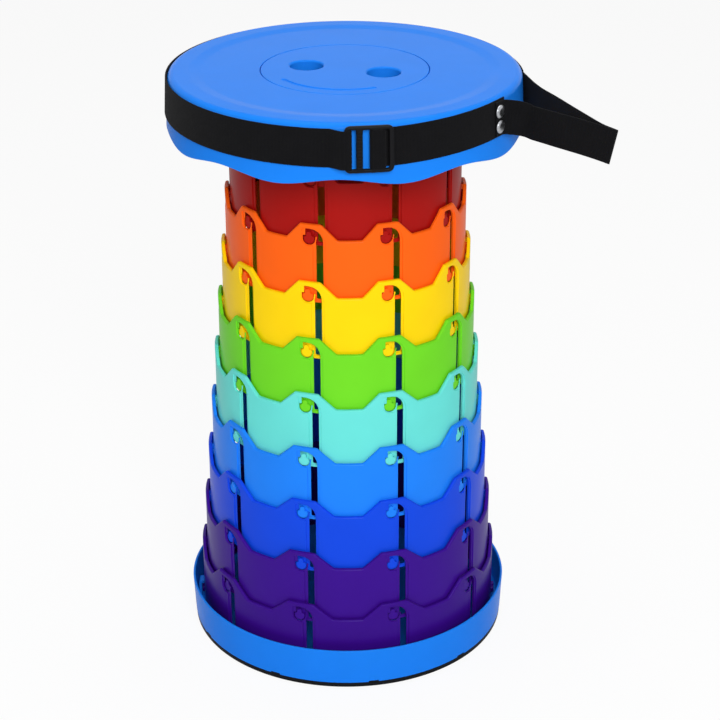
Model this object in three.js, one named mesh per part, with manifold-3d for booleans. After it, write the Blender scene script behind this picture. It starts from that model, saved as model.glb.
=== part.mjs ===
// Collapsible telescopic stool, standing open. Millimetres, +Z up.
// The origin is on the stool's axis at the floor. Azimuth 0 faces -Y and grows towards +X.
import * as THREE from 'three';
import { mergeVertices } from 'three/addons/utils/BufferGeometryUtils.js';
import Module from 'manifold-3d';

const wasm = await Module();
wasm.setup();

// Clearances
const seatGap = 0.3;
const runGap = 0.35;
const cutOverrun = 1;
const meshTolerance = 0.002;
const weldDistance = 0.0001;
const rootShare = 1 / 3;

// Telescoping rings, numbered 1 at the top to ringCount at the floor; ring 0 is the hidden collar
const ringCount = 9;
const slotsPerRing = 10;
const ringWall = 2.6;
const ringPitch = 3.8;
const lowestSlotAzimuth = -14.7;
const ringTwist = 0.38;

// Castle edge of a ring
const humpHeight = 11;
const humpFlatHalfAngle = 5;
const humpFootHalfAngle = 12.3;

// Lock window: a pocket for the lug above of it, a springy lip and a slot
const slotWidth = 4.3;
const lipWidth = 1.1;
const lipHeight = 6.4;
const lugWidth = 8.2;
const lugHeight = 9.5;
const lugTipWidth = 5;
const lugFoot = 2.1;
const lugHeadroom = 2;
const slotFoot = 3.3;
const crownHeight = 3.4;
const archRadius = 9.6;
const skinWall = 1.3;
const grooveFoot = 1.7;

// Base tray and its bottom plate
const plateThickness = 2.4;
const trayGap = 6.8;
const trayHeight = 33;
const trayWall = 1.8;
const trayFloor = 2.4;
const trayUnderside = 4.5;
const trayFootWidth = 5.5;
const tabCount = 9;
const tabAzimuth = 13;
const tabWidth = 12;
const tabRise = 1.6;
const tabThickness = 1.5;
const hookWall = 2.2;
const hookWidth = 9;

// Seat shell, and the height that the open stool's seat stands at
const seatHeight = 447.5;
const seatPlate = 3;
const seatFillet = 5;
const skirtWall = 2.2;
const skirtGap = 0.8;
const skirtDepth = 41;
const skirtLobes = 9;
const skirtLobeDepth = 2.5;
const skirtLobeAzimuth = 18.5;
const basinMargin = 23.5;
const basinSlope = 3.5;
const basinDepth = 0.8;

// Centre cap with its two finger holes; the collar, rings, tray and seat are sized outward from it
const capRadius = 60.4;
const capThickness = 2.2;
const capLedge = 6.5;
const capCollar = 2.6;
const capCollarDepth = 5.2;
const fingerRadius = 12;
const fingerSpacing = 58;
const fingerAngle = -17.7;
const fingerTubeWall = 1.6;
const fingerTubeDepth = 9;
const grooveInset = 10.4;
const grooveWidth = 3;
const grooveDepth = 0.8;
const grooveHalfAngle = 42;
const clipCount = 4;
const clipWidth = 12;
const clipWall = 1.8;
const clipBarb = 2.4;
const clipAngle = 45;

// Collar ears, the seat's screw bosses and the screws
const earDrop = 9.7;
const earThickness = 2.4;
const earLength = 12;
const earWidth = 12;
const earClearance = 3.3;
const screwCount = 4;
const bossRadius = 4;
const screwRadius = 1.75;
const screwHeadRadius = 3.7;
const screwHeadHeight = 2.2;
const screwLength = 9.5;

// Webbing, buckle and rivets
const strapWidth = 25.5;
const strapThickness = 1.2;
const strapDrop = 16.75;
const strapLeaveAzimuth = 92;
const strapRunOut = 3;
const strapEndGap = 0.2;
const rivetAzimuth = 56;
const strapEndMargin = 4;
const rivetPitch = 11.6;
const rivetHeadRadius = 4.8;
const rivetHeadHeight = 2.2;
const rivetDomeShares = [0.8, 0.6];
const rivetShankRadius = 1.8;
const rivetWasherThickness = 1;
const buckleAzimuth = 6.9;
const buckleWidth = 33.2;
const buckleHeight = 32;
const buckleThickness = 2.6;
const buckleRail = 2.9;
const buckleCorner = 4;
const buckleSlotShares = [-0.79, -0.52, -0.26, 0.115, 0.58, 0.8];
const loopReachShares = [0.12, 0.28, 0.62, 0.93];
const loopReach = 93;
const loopAngle = 127;
const loopDroop = 6;
const loopReturnShare = 1.2;

// Curve fineness
const arcSteps = 3;
const seatStepsPerLobe = 4;
const traySteps = 36;
const smallRoundSteps = 6;
const seatSteps = skirtLobes * seatStepsPerLobe;
const edgeShare = 0.1;

const degree = Math.PI / 180;
const fullTurn = 360;

// Derived sizes, from the cap outward: the collar's ears clear the cap's ledge, the tray clears the
// lowest ring, and the skirt clears the tray.
const collarRadius = capRadius + seatGap + capCollar + earClearance + earLength + ringWall;
const lowestRingRadius = collarRadius + ringCount * ringPitch;
const trayRadius = lowestRingRadius + trayGap + trayWall;
const seatRadius = trayRadius + skirtGap + skirtWall;
const basinRadius = seatRadius - basinMargin;
const grooveRadius = capRadius - grooveInset;

// Derived heights, from the floor up: the rings share out what the seat's height leaves for them.
const floorTop = trayUnderside + trayFloor;
const lowestRingBottom = floorTop + seatGap;
const aboveRises = lugFoot + lugHeight + lugHeadroom + crownHeight + seatGap + seatPlate;
const ringRise = (seatHeight - lowestRingBottom - aboveRises) / (ringCount + 1);
const windowBottom = ringRise + lugFoot - seatGap;
const windowTop = windowBottom + lugHeight + lugHeadroom + seatGap;
const ringHeight = windowTop + crownHeight;
const collarBottom = lowestRingBottom + ringCount * ringRise;
const seatUnderside = collarBottom + ringHeight + seatGap;
const seatTop = seatUnderside + seatPlate;
const basinTop = seatTop - basinDepth;
const strapMiddle = seatTop - strapDrop;
const pocketWidth = lugWidth + 2 * runGap;
const windowWidth = pocketWidth + lipWidth + slotWidth;
const facetShare = Math.cos(humpFlatHalfAngle * degree);

const ringRadius = (number) => lowestRingRadius - (ringCount - number) * ringPitch;
const ringBottom = (number) => lowestRingBottom + (ringCount - number) * ringRise;
const slotAzimuth = (number) => lowestSlotAzimuth + (ringCount - number) * ringTwist;
// A hump and its window share one centre line, left of the slot by half of what lies beside it.
const slotShift = (windowWidth - slotWidth) / 2;
const humpAzimuth = (number) => slotAzimuth(number) - slotShift / ringRadius(number) / degree;

// Turns any closed three.js geometry into a solid for joining and cutting.
function solid(geometry) {
  const bare = geometry.clone();
  bare.deleteAttribute('normal');
  bare.deleteAttribute('uv');
  const merged = mergeVertices(bare, weldDistance);
  const index = merged.index.array;
  const kept = [];
  for (let i = 0; i < index.length; i += 3) {
    const [a, b, c] = [index[i], index[i + 1], index[i + 2]];
    if (a !== b && b !== c && c !== a) kept.push(a, b, c);
  }
  const mesh = new wasm.Mesh({
    numProp: 3,
    vertProperties: new Float32Array(merged.attributes.position.array),
    triVerts: new Uint32Array(kept),
  });
  return new wasm.Manifold(mesh);
}

// The solid's surface, with the needless points along straight cut edges cleared away.
function geometryOf(manifold) {
  const mesh = manifold.asOriginal().simplify(meshTolerance).getMesh();
  const geometry = new THREE.BufferGeometry();
  geometry.setAttribute('position', new THREE.BufferAttribute(new Float32Array(mesh.vertProperties), 3));
  geometry.setIndex(new THREE.BufferAttribute(new Uint32Array(mesh.triVerts), 1));
  geometry.computeVertexNormals();
  return geometry;
}

const joined = (solids) => solids.reduce((sum, piece) => sum.add(piece));

// Directions at an azimuth: outward and, seen from outside, to the right.
const outward = (azimuth) => new THREE.Vector3(Math.sin(azimuth * degree), -Math.cos(azimuth * degree), 0);
const sideways = (azimuth) => new THREE.Vector3(Math.cos(azimuth * degree), Math.sin(azimuth * degree), 0);

// The place of something drawn in (sideways, up, outward), at an azimuth, radius and height.
function facing(azimuth, radius, height) {
  const out = outward(azimuth);
  const matrix = new THREE.Matrix4().makeBasis(sideways(azimuth), new THREE.Vector3(0, 0, 1), out);
  return matrix.setPosition(out.x * radius, out.y * radius, height);
}

const placed = (geometry, azimuth, radius, height) =>
  geometry.clone().applyMatrix4(facing(azimuth, radius, height));

const extruded = (shape, depth, curveSegments = arcSteps) =>
  new THREE.ExtrudeGeometry(shape, { depth, bevelEnabled: false, curveSegments });

// A radial plug from one radius to another.
const radialSolid = (shape, azimuth, inner, outer, height) =>
  solid(placed(extruded(shape, outer - inner), azimuth, inner, height));

const rectangle = (left, bottom, right, top) =>
  new THREE.Shape([
    new THREE.Vector2(left, bottom),
    new THREE.Vector2(right, bottom),
    new THREE.Vector2(right, top),
    new THREE.Vector2(left, top),
  ]);

// A solid of revolution about Z from a closed outline of [radius, height] points.
function revolved(points, steps) {
  const outline = points.map(([radius, height]) => new THREE.Vector2(radius, height));
  const geometry = new THREE.LatheGeometry(outline, steps);
  return geometry.rotateX(Math.PI / 2);
}

const roundBar = (radius, length, steps = smallRoundSteps) =>
  new THREE.CylinderGeometry(radius, radius, length, steps);

const aroundTheRim = (count, first, make) =>
  joined(Array.from({ length: count }, (_, i) => make(first + (i * fullTurn) / count)));

// Points along part of a circle, angles in degrees.
function arcPoints(x, y, radius, from, to, steps = arcSteps) {
  const curve = new THREE.EllipseCurve(x, y, radius, radius, from * degree, to * degree, to < from);
  return curve.getPoints(steps);
}

// Lug outline: a round foot with a narrower tip, drawn about its middle from its lowest point.
function lugShape() {
  const half = lugWidth / 2;
  const tip = lugTipWidth / 2;
  return new THREE.Shape([
    ...arcPoints(0, half, half, 180, 360),
    new THREE.Vector2(tip, lugHeight),
    new THREE.Vector2(-tip, lugHeight),
  ]);
}

// Window outline: pocket on the left, lip, and the slot that runs down to the ring's foot band.
function windowShape() {
  const left = -windowWidth / 2;
  const right = windowWidth / 2;
  const slotLeft = right - slotWidth;
  const round = pocketWidth / 2;
  return new THREE.Shape([
    new THREE.Vector2(left, windowTop),
    ...arcPoints(left + round, windowBottom + round, round, 180, 360),
    new THREE.Vector2(slotLeft, windowBottom + lipHeight),
    new THREE.Vector2(slotLeft, slotFoot),
    new THREE.Vector2(right, slotFoot),
    ...arcPoints(right - archRadius, windowTop - archRadius, archRadius, 0, 90, arcSteps - 1),
  ]);
}

// Corner azimuths of one ring: two at the hump's flat and two at its feet, for each slot.
function ringCorners(number) {
  const corners = [];
  for (let i = 0; i < slotsPerRing; i += 1) {
    const middle = humpAzimuth(number) + (i * fullTurn) / slotsPerRing;
    corners.push({ azimuth: middle - humpFootHalfAngle, low: true });
    corners.push({ azimuth: middle - humpFlatHalfAngle, low: false });
    corners.push({ azimuth: middle + humpFlatHalfAngle, low: false });
    corners.push({ azimuth: middle + humpFootHalfAngle, low: true });
  }
  return corners;
}

// A many-sided tube whose top edge dips at the low corners.
function ringTube(number, inner, outer, height, dip) {
  const corners = ringCorners(number);
  const at = (radius) => corners.map(({ azimuth }) => {
    const point = outward(azimuth).multiplyScalar(radius);
    return new THREE.Vector2(point.x, point.y);
  });
  const shape = new THREE.Shape(at(outer));
  shape.holes.push(new THREE.Path(at(inner)));
  const geometry = extruded(shape, height);
  const position = geometry.attributes.position;
  const lows = corners.filter(({ low }) => low).map(({ azimuth }) => outward(azimuth));
  for (let i = 0; i < position.count; i += 1) {
    const point = new THREE.Vector3(position.getX(i), position.getY(i), 0).normalize();
    const isLow = lows.some((low) => low.angleTo(point) < degree);
    if (isLow && position.getZ(i) > 0) position.setZ(i, height - dip);
  }
  return solid(geometry);
}

// Lugs at the foot of a ring, placed in the windows of the next ring out.
function ringLugs(number) {
  const next = number + 1;
  const middle = (pocketWidth - windowWidth) / 2;
  const root = (ringRadius(number) - ringWall * rootShare) * facetShare;
  const face = ringRadius(next) * facetShare - skinWall - seatGap;
  const geometry = extruded(lugShape(), face - root).translate(middle, 0, 0);
  return aroundTheRim(slotsPerRing, humpAzimuth(next), (azimuth) =>
    solid(placed(geometry, azimuth, root, lugFoot)));
}

// One window cut with the lug's guide groove below its pocket, drawn outward from the inner face.
function windowCut(inner, outer) {
  const left = -windowWidth / 2;
  const groove = rectangle(left, grooveFoot, left + pocketWidth, windowBottom + pocketWidth / 2);
  const through = extruded(windowShape(), outer - inner + 2 * cutOverrun);
  const blind = extruded(groove, outer - inner - skinWall + cutOverrun);
  return geometryOf(solid(through).add(solid(blind)));
}

function makeRing(number) {
  const outer = ringRadius(number) * facetShare;
  const inner = (ringRadius(number) - ringWall) * facetShare;
  const tube = ringTube(number, ringRadius(number) - ringWall, ringRadius(number), ringHeight, humpHeight);
  const cut = windowCut(inner, outer);
  const cuts = aroundTheRim(slotsPerRing, humpAzimuth(number), (azimuth) =>
    solid(placed(cut, azimuth, inner - cutOverrun, 0)));
  return tube.subtract(cuts).add(ringLugs(number));
}

// Hidden collar under the seat: a plain tube with lugs and inner ears for its screws.
function makeCollar() {
  const outer = ringRadius(0);
  const inner = outer - ringWall;
  const earBottom = ringHeight - earDrop - earThickness;
  const tube = ringTube(0, inner, outer, ringHeight, 0);
  const ear = rectangle(-earWidth / 2, earBottom, earWidth / 2, earBottom + earThickness);
  const ears = aroundTheRim(screwCount, 0, (azimuth) =>
    radialSolid(ear, azimuth, inner - earLength, (inner + ringWall / 2) * facetShare, 0));
  const holes = aroundTheRim(screwCount, 0, (azimuth) =>
    screwBar(azimuth, screwRadius + runGap, earBottom - cutOverrun, earThickness + 2 * cutOverrun));
  return tube.add(ears).subtract(holes).add(ringLugs(0));
}

const screwCircle = () => ringRadius(0) - ringWall - earLength / 2;

// An upright round bar on the screw circle.
function screwBar(azimuth, radius, bottom, length) {
  const place = outward(azimuth).multiplyScalar(screwCircle());
  const bar = roundBar(radius, length).rotateX(Math.PI / 2);
  return solid(bar.translate(place.x, place.y, bottom + length / 2));
}

const screwHeadTop = () => ringBottom(0) + ringHeight - earDrop - earThickness - seatGap;

// One screw, drawn from the bearing face of its head.
function makeScrew() {
  const profile = [
    [0, -screwHeadHeight],
    [screwHeadRadius / 2, -screwHeadHeight],
    [screwHeadRadius, -screwHeadHeight / 2],
    [screwHeadRadius, 0],
    [screwRadius, 0],
    [screwRadius, screwLength],
    [0, screwLength + screwRadius],
  ];
  return solid(revolved(profile, smallRoundSteps));
}

// Seat shell: a plate with a rounded rim, a shallow basin, a cap ledge and a wavy skirt.
function makeSeatShell() {
  const skirtBottom = seatTop - skirtDepth;
  const innerWall = seatRadius - skirtWall;
  const recess = capRadius + seatGap;
  const ledgeTop = basinTop - capThickness - seatGap;
  const collarUnder = basinTop - capCollarDepth;
  const profile = [[seatRadius, skirtBottom]];
  for (let i = 0; i <= arcSteps; i += 1) {
    const turn = (i / arcSteps) * 90 * degree;
    profile.push([
      seatRadius - seatFillet + seatFillet * Math.cos(turn),
      seatTop - seatFillet + seatFillet * Math.sin(turn),
    ]);
  }
  profile.push(
    [basinRadius + basinSlope, seatTop],
    [basinRadius, basinTop],
    [recess, basinTop],
    [recess, ledgeTop],
    [capRadius - capLedge, ledgeTop],
    [capRadius - capLedge, collarUnder],
    [recess + capCollar, collarUnder],
    [recess + capCollar, seatUnderside],
    [innerWall, seatUnderside],
    [innerWall, skirtBottom],
    [seatRadius, skirtBottom],
  );
  const geometry = revolved(profile, seatSteps);
  const position = geometry.attributes.position;
  const half = (seatUnderside + skirtBottom) / 2;
  for (let i = 0; i < position.count; i += 1) {
    const azimuth = Math.atan2(position.getX(i), -position.getY(i));
    const wave = Math.cos(skirtLobes * (azimuth - skirtLobeAzimuth * degree));
    if (position.getZ(i) < half) position.setZ(i, skirtBottom - skirtLobeDepth * wave);
  }
  const bossBottom = ringBottom(0) + ringHeight - earDrop + seatGap;
  const bosses = aroundTheRim(screwCount, 0, (azimuth) =>
    screwBar(azimuth, bossRadius, bossBottom, seatUnderside - bossBottom + seatPlate * rootShare));
  const boreDepth = seatUnderside - bossBottom + cutOverrun;
  const bores = aroundTheRim(screwCount, 0, (azimuth) =>
    screwBar(azimuth, screwRadius + runGap, bossBottom - cutOverrun, boreDepth));
  return solid(geometry).add(bosses).subtract(bores).subtract(rivetBars(rivetShankRadius + runGap));
}

// Cap that snaps into the seat, with two finger tubes and a curved groove.
function makeCentreCap() {
  const bottom = basinTop - capThickness;
  const disc = solid(roundBar(capRadius, capThickness, traySteps).rotateX(Math.PI / 2)
    .translate(0, 0, bottom + capThickness / 2));
  const fingerAt = [-1, 1].map((side) => [
    (side * fingerSpacing * Math.cos(fingerAngle * degree)) / 2,
    (side * fingerSpacing * Math.sin(fingerAngle * degree)) / 2,
  ]);
  const upright = (radius, low, high, [x, y]) => solid(roundBar(radius, high - low, 2 * smallRoundSteps)
    .rotateX(Math.PI / 2).translate(x, y, (low + high) / 2));
  const tubes = joined(fingerAt.map((at) =>
    upright(fingerRadius + fingerTubeWall, basinTop - fingerTubeDepth, basinTop - capThickness / 2, at)));
  const holes = joined(fingerAt.map((at) =>
    upright(fingerRadius, basinTop - fingerTubeDepth - cutOverrun, basinTop + cutOverrun, at)));
  const middle = fingerAngle - 90;
  const [from, to] = [middle - grooveHalfAngle, middle + grooveHalfAngle];
  const arc = new THREE.Shape([
    ...arcPoints(0, 0, grooveRadius + grooveWidth / 2, from, to, smallRoundSteps),
    ...arcPoints(0, 0, grooveRadius - grooveWidth / 2, to, from, smallRoundSteps),
  ]);
  const groove = solid(extruded(arc, grooveDepth + cutOverrun).translate(0, 0, basinTop - grooveDepth));
  return disc.add(tubes).add(capClips(bottom)).subtract(holes).subtract(groove);
}

// Spring clips under the cap that hook below the seat's ledge.
function capClips(bottom) {
  const ledge = (capRadius - capLedge) * Math.cos(Math.PI / seatSteps);
  const outer = Math.sqrt(ledge ** 2 - (clipWidth / 2) ** 2) - seatGap;
  const catchTop = basinTop - capCollarDepth - seatGap;
  const shape = new THREE.Shape([
    new THREE.Vector2(outer - clipWall, bottom + capThickness / 2),
    new THREE.Vector2(outer - clipWall, catchTop - clipBarb),
    new THREE.Vector2(outer, catchTop - clipBarb),
    new THREE.Vector2(outer + clipBarb, catchTop),
    new THREE.Vector2(outer, catchTop),
    new THREE.Vector2(outer, bottom + capThickness / 2),
  ]);
  const clip = extruded(shape, clipWidth).translate(0, 0, -clipWidth / 2);
  return aroundTheRim(clipCount, fingerAngle + clipAngle, (azimuth) => solid(clip.clone().applyMatrix4(
    new THREE.Matrix4().makeBasis(outward(azimuth), new THREE.Vector3(0, 0, 1),
      sideways(azimuth).negate()))));
}

// Base tray: floor, wall, foot and hooks that hold the lowest ring's lugs.
function makeBaseTray() {
  const wallBottom = plateThickness + seatGap;
  const innerWall = trayRadius - trayWall;
  const profile = [
    [0, trayUnderside],
    [trayRadius - trayFootWidth, trayUnderside],
    [trayRadius - trayFootWidth, wallBottom],
    [trayRadius, wallBottom],
    [trayRadius, trayHeight],
    [innerWall, trayHeight],
    [innerWall, floorTop],
    [0, floorTop],
  ];
  const tray = solid(revolved(profile, traySteps));
  const notchHalf = tabWidth / 2 + runGap;
  const notch = rectangle(-notchHalf, wallBottom - cutOverrun, notchHalf, wallBottom + tabRise);
  const notches = aroundTheRim(tabCount, tabAzimuth, (azimuth) =>
    radialSolid(notch, azimuth, innerTab() - seatGap, trayRadius + cutOverrun, 0));
  const hooks = aroundTheRim(Math.round(slotsPerRing / 2), humpAzimuth(ringCount + 1), makeHook);
  return tray.add(hooks).subtract(notches);
}

// One hook: a post outside the lug with a lip over the lug's tip.
function makeHook(azimuth) {
  const post = ringRadius(ringCount + 1) * facetShare - skinWall;
  const lip = ringRadius(ringCount) + seatGap;
  const lipBottom = lowestRingBottom + lugFoot + lugHeight + seatGap;
  const shape = new THREE.Shape([
    new THREE.Vector2(post, floorTop - trayFloor / 2),
    new THREE.Vector2(post + hookWall, floorTop - trayFloor / 2),
    new THREE.Vector2(post + hookWall, lipBottom + hookWall),
    new THREE.Vector2(lip, lipBottom + hookWall),
    new THREE.Vector2(lip, lipBottom),
    new THREE.Vector2(post, lipBottom),
  ]);
  const middle = (pocketWidth - windowWidth) / 2;
  const hook = extruded(shape, hookWidth).translate(0, 0, -hookWidth / 2 - middle);
  return solid(hook.applyMatrix4(new THREE.Matrix4().makeBasis(
    outward(azimuth), new THREE.Vector3(0, 0, 1), sideways(azimuth).negate())));
}

const innerTab = () => trayRadius - seatGap - tabThickness;

// Bottom plate with snap tabs in the notches of the tray's wall.
function makeBottomPlate() {
  const outer = trayRadius - seatGap;
  const profile = [
    [0, 0],
    [outer, 0],
    [outer, plateThickness],
    [0, plateThickness],
  ];
  const tab = rectangle(-tabWidth / 2, plateThickness / 2, tabWidth / 2, plateThickness + tabRise);
  const tabs = aroundTheRim(tabCount, tabAzimuth, (azimuth) =>
    radialSolid(tab, azimuth, innerTab(), outer * Math.cos(tabWidth / 2 / outer) - seatGap * rootShare, 0));
  return solid(revolved(profile, traySteps)).add(tabs);
}

// A ribbon that stands on its edge and follows a path of [x, y] points, with mitred turns.
function standingRibbon(path, droop) {
  const left = [];
  const right = [];
  path.forEach((point, i) => {
    const before = point.clone().sub(path[Math.max(i - 1, 0)]).normalize();
    const after = path[Math.min(i + 1, path.length - 1)].clone().sub(point).normalize();
    const along = before.clone().add(after).normalize();
    const straight = Math.max(along.dot(before), along.dot(after));
    const normal = new THREE.Vector2(-along.y, along.x).multiplyScalar(strapThickness / 2 / straight);
    left.push(point.clone().add(normal));
    right.unshift(point.clone().sub(normal));
  });
  const geometry = extruded(new THREE.Shape([...left, ...right]), strapWidth)
    .translate(0, 0, strapMiddle - strapWidth / 2);
  const position = geometry.attributes.position;
  for (let i = 0; i < position.count; i += 1) {
    const beyond = Math.hypot(position.getX(i), position.getY(i)) - strapCentre() - strapThickness;
    if (beyond > 0) position.setZ(i, position.getZ(i) - droop * (beyond / loopReach) ** 2);
  }
  return solid(geometry);
}

// The webbing lies on the flat facets of the seat's skirt.
const seatFacet = fullTurn / seatSteps;
const strapCentre = () => seatRadius + (seatGap + strapThickness / 2) / Math.cos((seatFacet / 2) * degree);
const tabRadius = () => strapCentre() + strapThickness + seatGap;
const buckleInner = () => seatRadius + 3 * seatGap + strapThickness;

const onRim = (azimuth, radius) => {
  const fromMiddle = azimuth - (Math.floor(azimuth / seatFacet) * seatFacet + seatFacet / 2);
  const chord = (radius * Math.cos((seatFacet / 2) * degree)) / Math.cos(fromMiddle * degree);
  const point = outward(azimuth).multiplyScalar(chord);
  return new THREE.Vector2(point.x, point.y);
};

// A point beside the buckle: sideways from its middle and out from the axis.
const atBuckle = (side, out) => {
  const point = outward(buckleAzimuth).multiplyScalar(out);
  point.addScaledVector(sideways(buckleAzimuth), side);
  return new THREE.Vector2(point.x, point.y);
};

// Points along the rim: both ends and each facet edge between them.
function rimPath(from, to, radius) {
  const [low, high] = [Math.min(from, to), Math.max(from, to)];
  const margin = edgeShare * seatFacet;
  const edges = Array.from({ length: 2 * seatSteps }, (_, i) => (i - seatSteps) * seatFacet)
    .filter((edge) => edge > low + margin && edge < high - margin);
  const azimuths = [low, ...edges, high];
  if (to < from) azimuths.reverse();
  return azimuths.map((azimuth) => onRim(azimuth, radius));
}

// Radii of the webbing behind and in front of the buckle's bars, and its offset beside one.
const besideBar = seatGap + strapThickness / 2;
const behindBar = () => buckleInner() - besideBar;
const beforeBar = () => buckleInner() + buckleThickness + besideBar;

// Half of the buckle's width as an angle on the rim.
const buckleReach = buckleWidth / 2 / seatRadius / degree;
const buckleEdges = () => buckleSlotShares.map((share) => (share * buckleWidth) / 2);

// Long webbing: from the buckle's left bar round the back of the seat to where the loop leaves.
function makeStrapLong() {
  const [barInnerEdge] = buckleEdges();
  const barOuterEdge = -buckleWidth / 2;
  const start = buckleAzimuth - buckleReach - strapRunOut;
  const path = [
    atBuckle(barOuterEdge + strapThickness, behindBar()),
    atBuckle(barInnerEdge + besideBar, behindBar()),
    atBuckle(barInnerEdge + besideBar, beforeBar()),
    atBuckle(barOuterEdge - besideBar, beforeBar()),
    ...rimPath(start, strapLeaveAzimuth - fullTurn + strapEndGap, strapCentre()),
  ];
  return standingRibbon(path, 0);
}

// Short webbing: from the rivets under the buckle's right bar, up and round its middle bar.
function makeStrapShort() {
  const [, , , barLeft, barRight] = buckleEdges();
  const path = [
    atBuckle(barRight - 2 * strapThickness, behindBar()),
    atBuckle(barLeft - besideBar, behindBar()),
    atBuckle(barLeft - besideBar, beforeBar()),
    atBuckle(barRight + besideBar, beforeBar()),
    atBuckle(barRight + besideBar, behindBar()),
    ...rimPath(buckleAzimuth + buckleReach, rivetAzimuth + strapEndMargin, strapCentre()),
  ];
  return standingRibbon(path, 0).subtract(rivetBars(rivetShankRadius + runGap));
}

// Carrying loop: riveted at the front end, folded at its tip, back along the rim's tangent.
function makeStrapLoop() {
  const root = onRim(rivetAzimuth + strapEndMargin, tabRadius());
  const leave = onRim(strapLeaveAzimuth, strapCentre());
  const heading = new THREE.Vector2(
    Math.sin(loopAngle * degree), Math.cos(loopAngle * degree));
  const tip = root.clone().addScaledVector(heading, loopReach);
  const aside = new THREE.Vector2(heading.y, -heading.x);
  const front = loopReachShares.map((share, i) => root.clone()
    .addScaledVector(heading, loopReach * share)
    .addScaledVector(aside, i < 1 ? strapThickness : strapThickness * (1 + share)));
  const back = loopReachShares.slice(1).reverse().map((share) => {
    const along = share ** loopReturnShare;
    return leave.clone().lerp(tip, along).addScaledVector(aside, -strapThickness * share);
  });
  const path = [
    ...rimPath(rivetAzimuth - strapEndMargin, rivetAzimuth + strapEndMargin / 2, tabRadius()),
    ...front,
    tip,
    ...back,
    leave,
  ];
  return standingRibbon(path, loopDroop).subtract(rivetBars(rivetShankRadius + runGap));
}

// Ladder buckle: two rails and four upright bars.
function makeBuckle() {
  const [a, b, c, d, e, f] = buckleEdges();
  const halfWidth = buckleWidth / 2;
  const halfHeight = buckleHeight / 2;
  const [side, end] = [halfWidth - buckleCorner, halfHeight - buckleCorner];
  const shape = new THREE.Shape([
    ...arcPoints(side, -end, buckleCorner, -90, 0),
    ...arcPoints(side, end, buckleCorner, 0, 90),
    ...arcPoints(-side, end, buckleCorner, 90, 180),
    ...arcPoints(-side, -end, buckleCorner, 180, 270),
  ]);
  const opening = halfHeight - buckleRail;
  const inner = buckleInner();
  const openings = joined([[a, b], [c, d], [e, f]].map(([left, right]) => radialSolid(
    rectangle(left, -opening, right, opening),
    buckleAzimuth, inner - cutOverrun, inner + buckleThickness + cutOverrun, strapMiddle)));
  return radialSolid(shape, buckleAzimuth, inner, inner + buckleThickness, strapMiddle).subtract(openings);
}

// Upright pair of radial round bars at the rivets, for their holes.
function rivetBars(radius) {
  const bars = [-1, 1].map((side) => {
    const bar = roundBar(radius, 2 * (rivetOuter() - rivetInner())).rotateX(Math.PI / 2);
    return solid(placed(bar, rivetAzimuth, seatRadius, strapMiddle + (side * rivetPitch) / 2));
  });
  return joined(bars);
}

const rivetInner = () => (seatRadius - skirtWall) * Math.cos(Math.PI / seatSteps);
const rivetOuter = () => tabRadius() + strapThickness / 2;

// One domed rivet, drawn along its line from the stool's axis.
function makeRivet() {
  const headBase = rivetOuter() + seatGap;
  const tail = rivetInner() - rivetWasherThickness - 2 * seatGap;
  const profile = [
    [0, tail],
    [rivetShankRadius, tail],
    [rivetShankRadius, headBase],
    [rivetHeadRadius, headBase],
    [rivetHeadRadius * rivetDomeShares[0], headBase + rivetHeadHeight * rivetDomeShares[1]],
    [0, headBase + rivetHeadHeight],
  ];
  return solid(revolved(profile, smallRoundSteps));
}

function makeRivetWasher() {
  const top = rivetInner() - seatGap;
  const bore = rivetShankRadius + seatGap;
  const profile = [
    [bore, top - rivetWasherThickness],
    [rivetHeadRadius, top - rivetWasherThickness],
    [rivetHeadRadius, top],
    [bore, top],
    [bore, top - rivetWasherThickness],
  ];
  return solid(revolved(profile, smallRoundSteps));
}

const plastic = (color, roughness = 0.35) =>
  new THREE.MeshStandardMaterial({ color, roughness, metalness: 0 });

const ringNames = ['red', 'orange', 'yellow', 'green', 'turquoise', 'sky', 'royal', 'violet', 'purple'];
const ringColours = [
  0xa8170f, 0xff6a14, 0xffdc1c, 0x76de30, 0x74e2e4, 0x1f84f6, 0x1853e0, 0x3c138c, 0x3a1288,
];
const seatBlue = plastic(0x3b93fa, 0.3);
const black = plastic(0x141416, 0.6);
const webbing = plastic(0x101012, 0.9);
const steel = new THREE.MeshStandardMaterial({ color: 0x9a9ea3, roughness: 0.3, metalness: 1 });

const stool = new THREE.Group();

function add(name, manifold, material) {
  const mesh = new THREE.Mesh(geometryOf(manifold), material);
  mesh.name = name;
  stool.add(mesh);
  return mesh;
}

add('bottom_plate', makeBottomPlate(), black);
add('base_tray', makeBaseTray(), seatBlue);
for (let number = ringCount; number >= 1; number -= 1) {
  const shade = (number - 1) % ringNames.length;
  const extra = number > ringNames.length ? `_${number}` : '';
  const ring = add(`ring_${ringNames[shade]}${extra}`, makeRing(number), plastic(ringColours[shade]));
  ring.position.z = ringBottom(number);
}
add('collar_red', makeCollar(), plastic(ringColours[0])).position.z = ringBottom(0);
for (let i = 0; i < screwCount; i += 1) {
  const screw = add(`collar_screw_${i + 1}`, makeScrew(), steel);
  screw.position.copy(outward((i * fullTurn) / screwCount).multiplyScalar(screwCircle()));
  screw.position.z = screwHeadTop();
}
add('seat_shell', makeSeatShell(), seatBlue);
add('centre_cap', makeCentreCap(), seatBlue);
add('strap_long', makeStrapLong(), webbing);
add('strap_short', makeStrapShort(), webbing);
add('strap_loop', makeStrapLoop(), webbing);
add('strap_buckle', makeBuckle(), black);
[1, -1].forEach((side, i) => {
  const place = facing(rivetAzimuth, 0, strapMiddle + (side * rivetPitch) / 2);
  add(`strap_rivet_${i + 1}`, makeRivet(), steel).applyMatrix4(place);
  add(`rivet_washer_${i + 1}`, makeRivetWasher(), steel).applyMatrix4(place);
});

export default stool;
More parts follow.
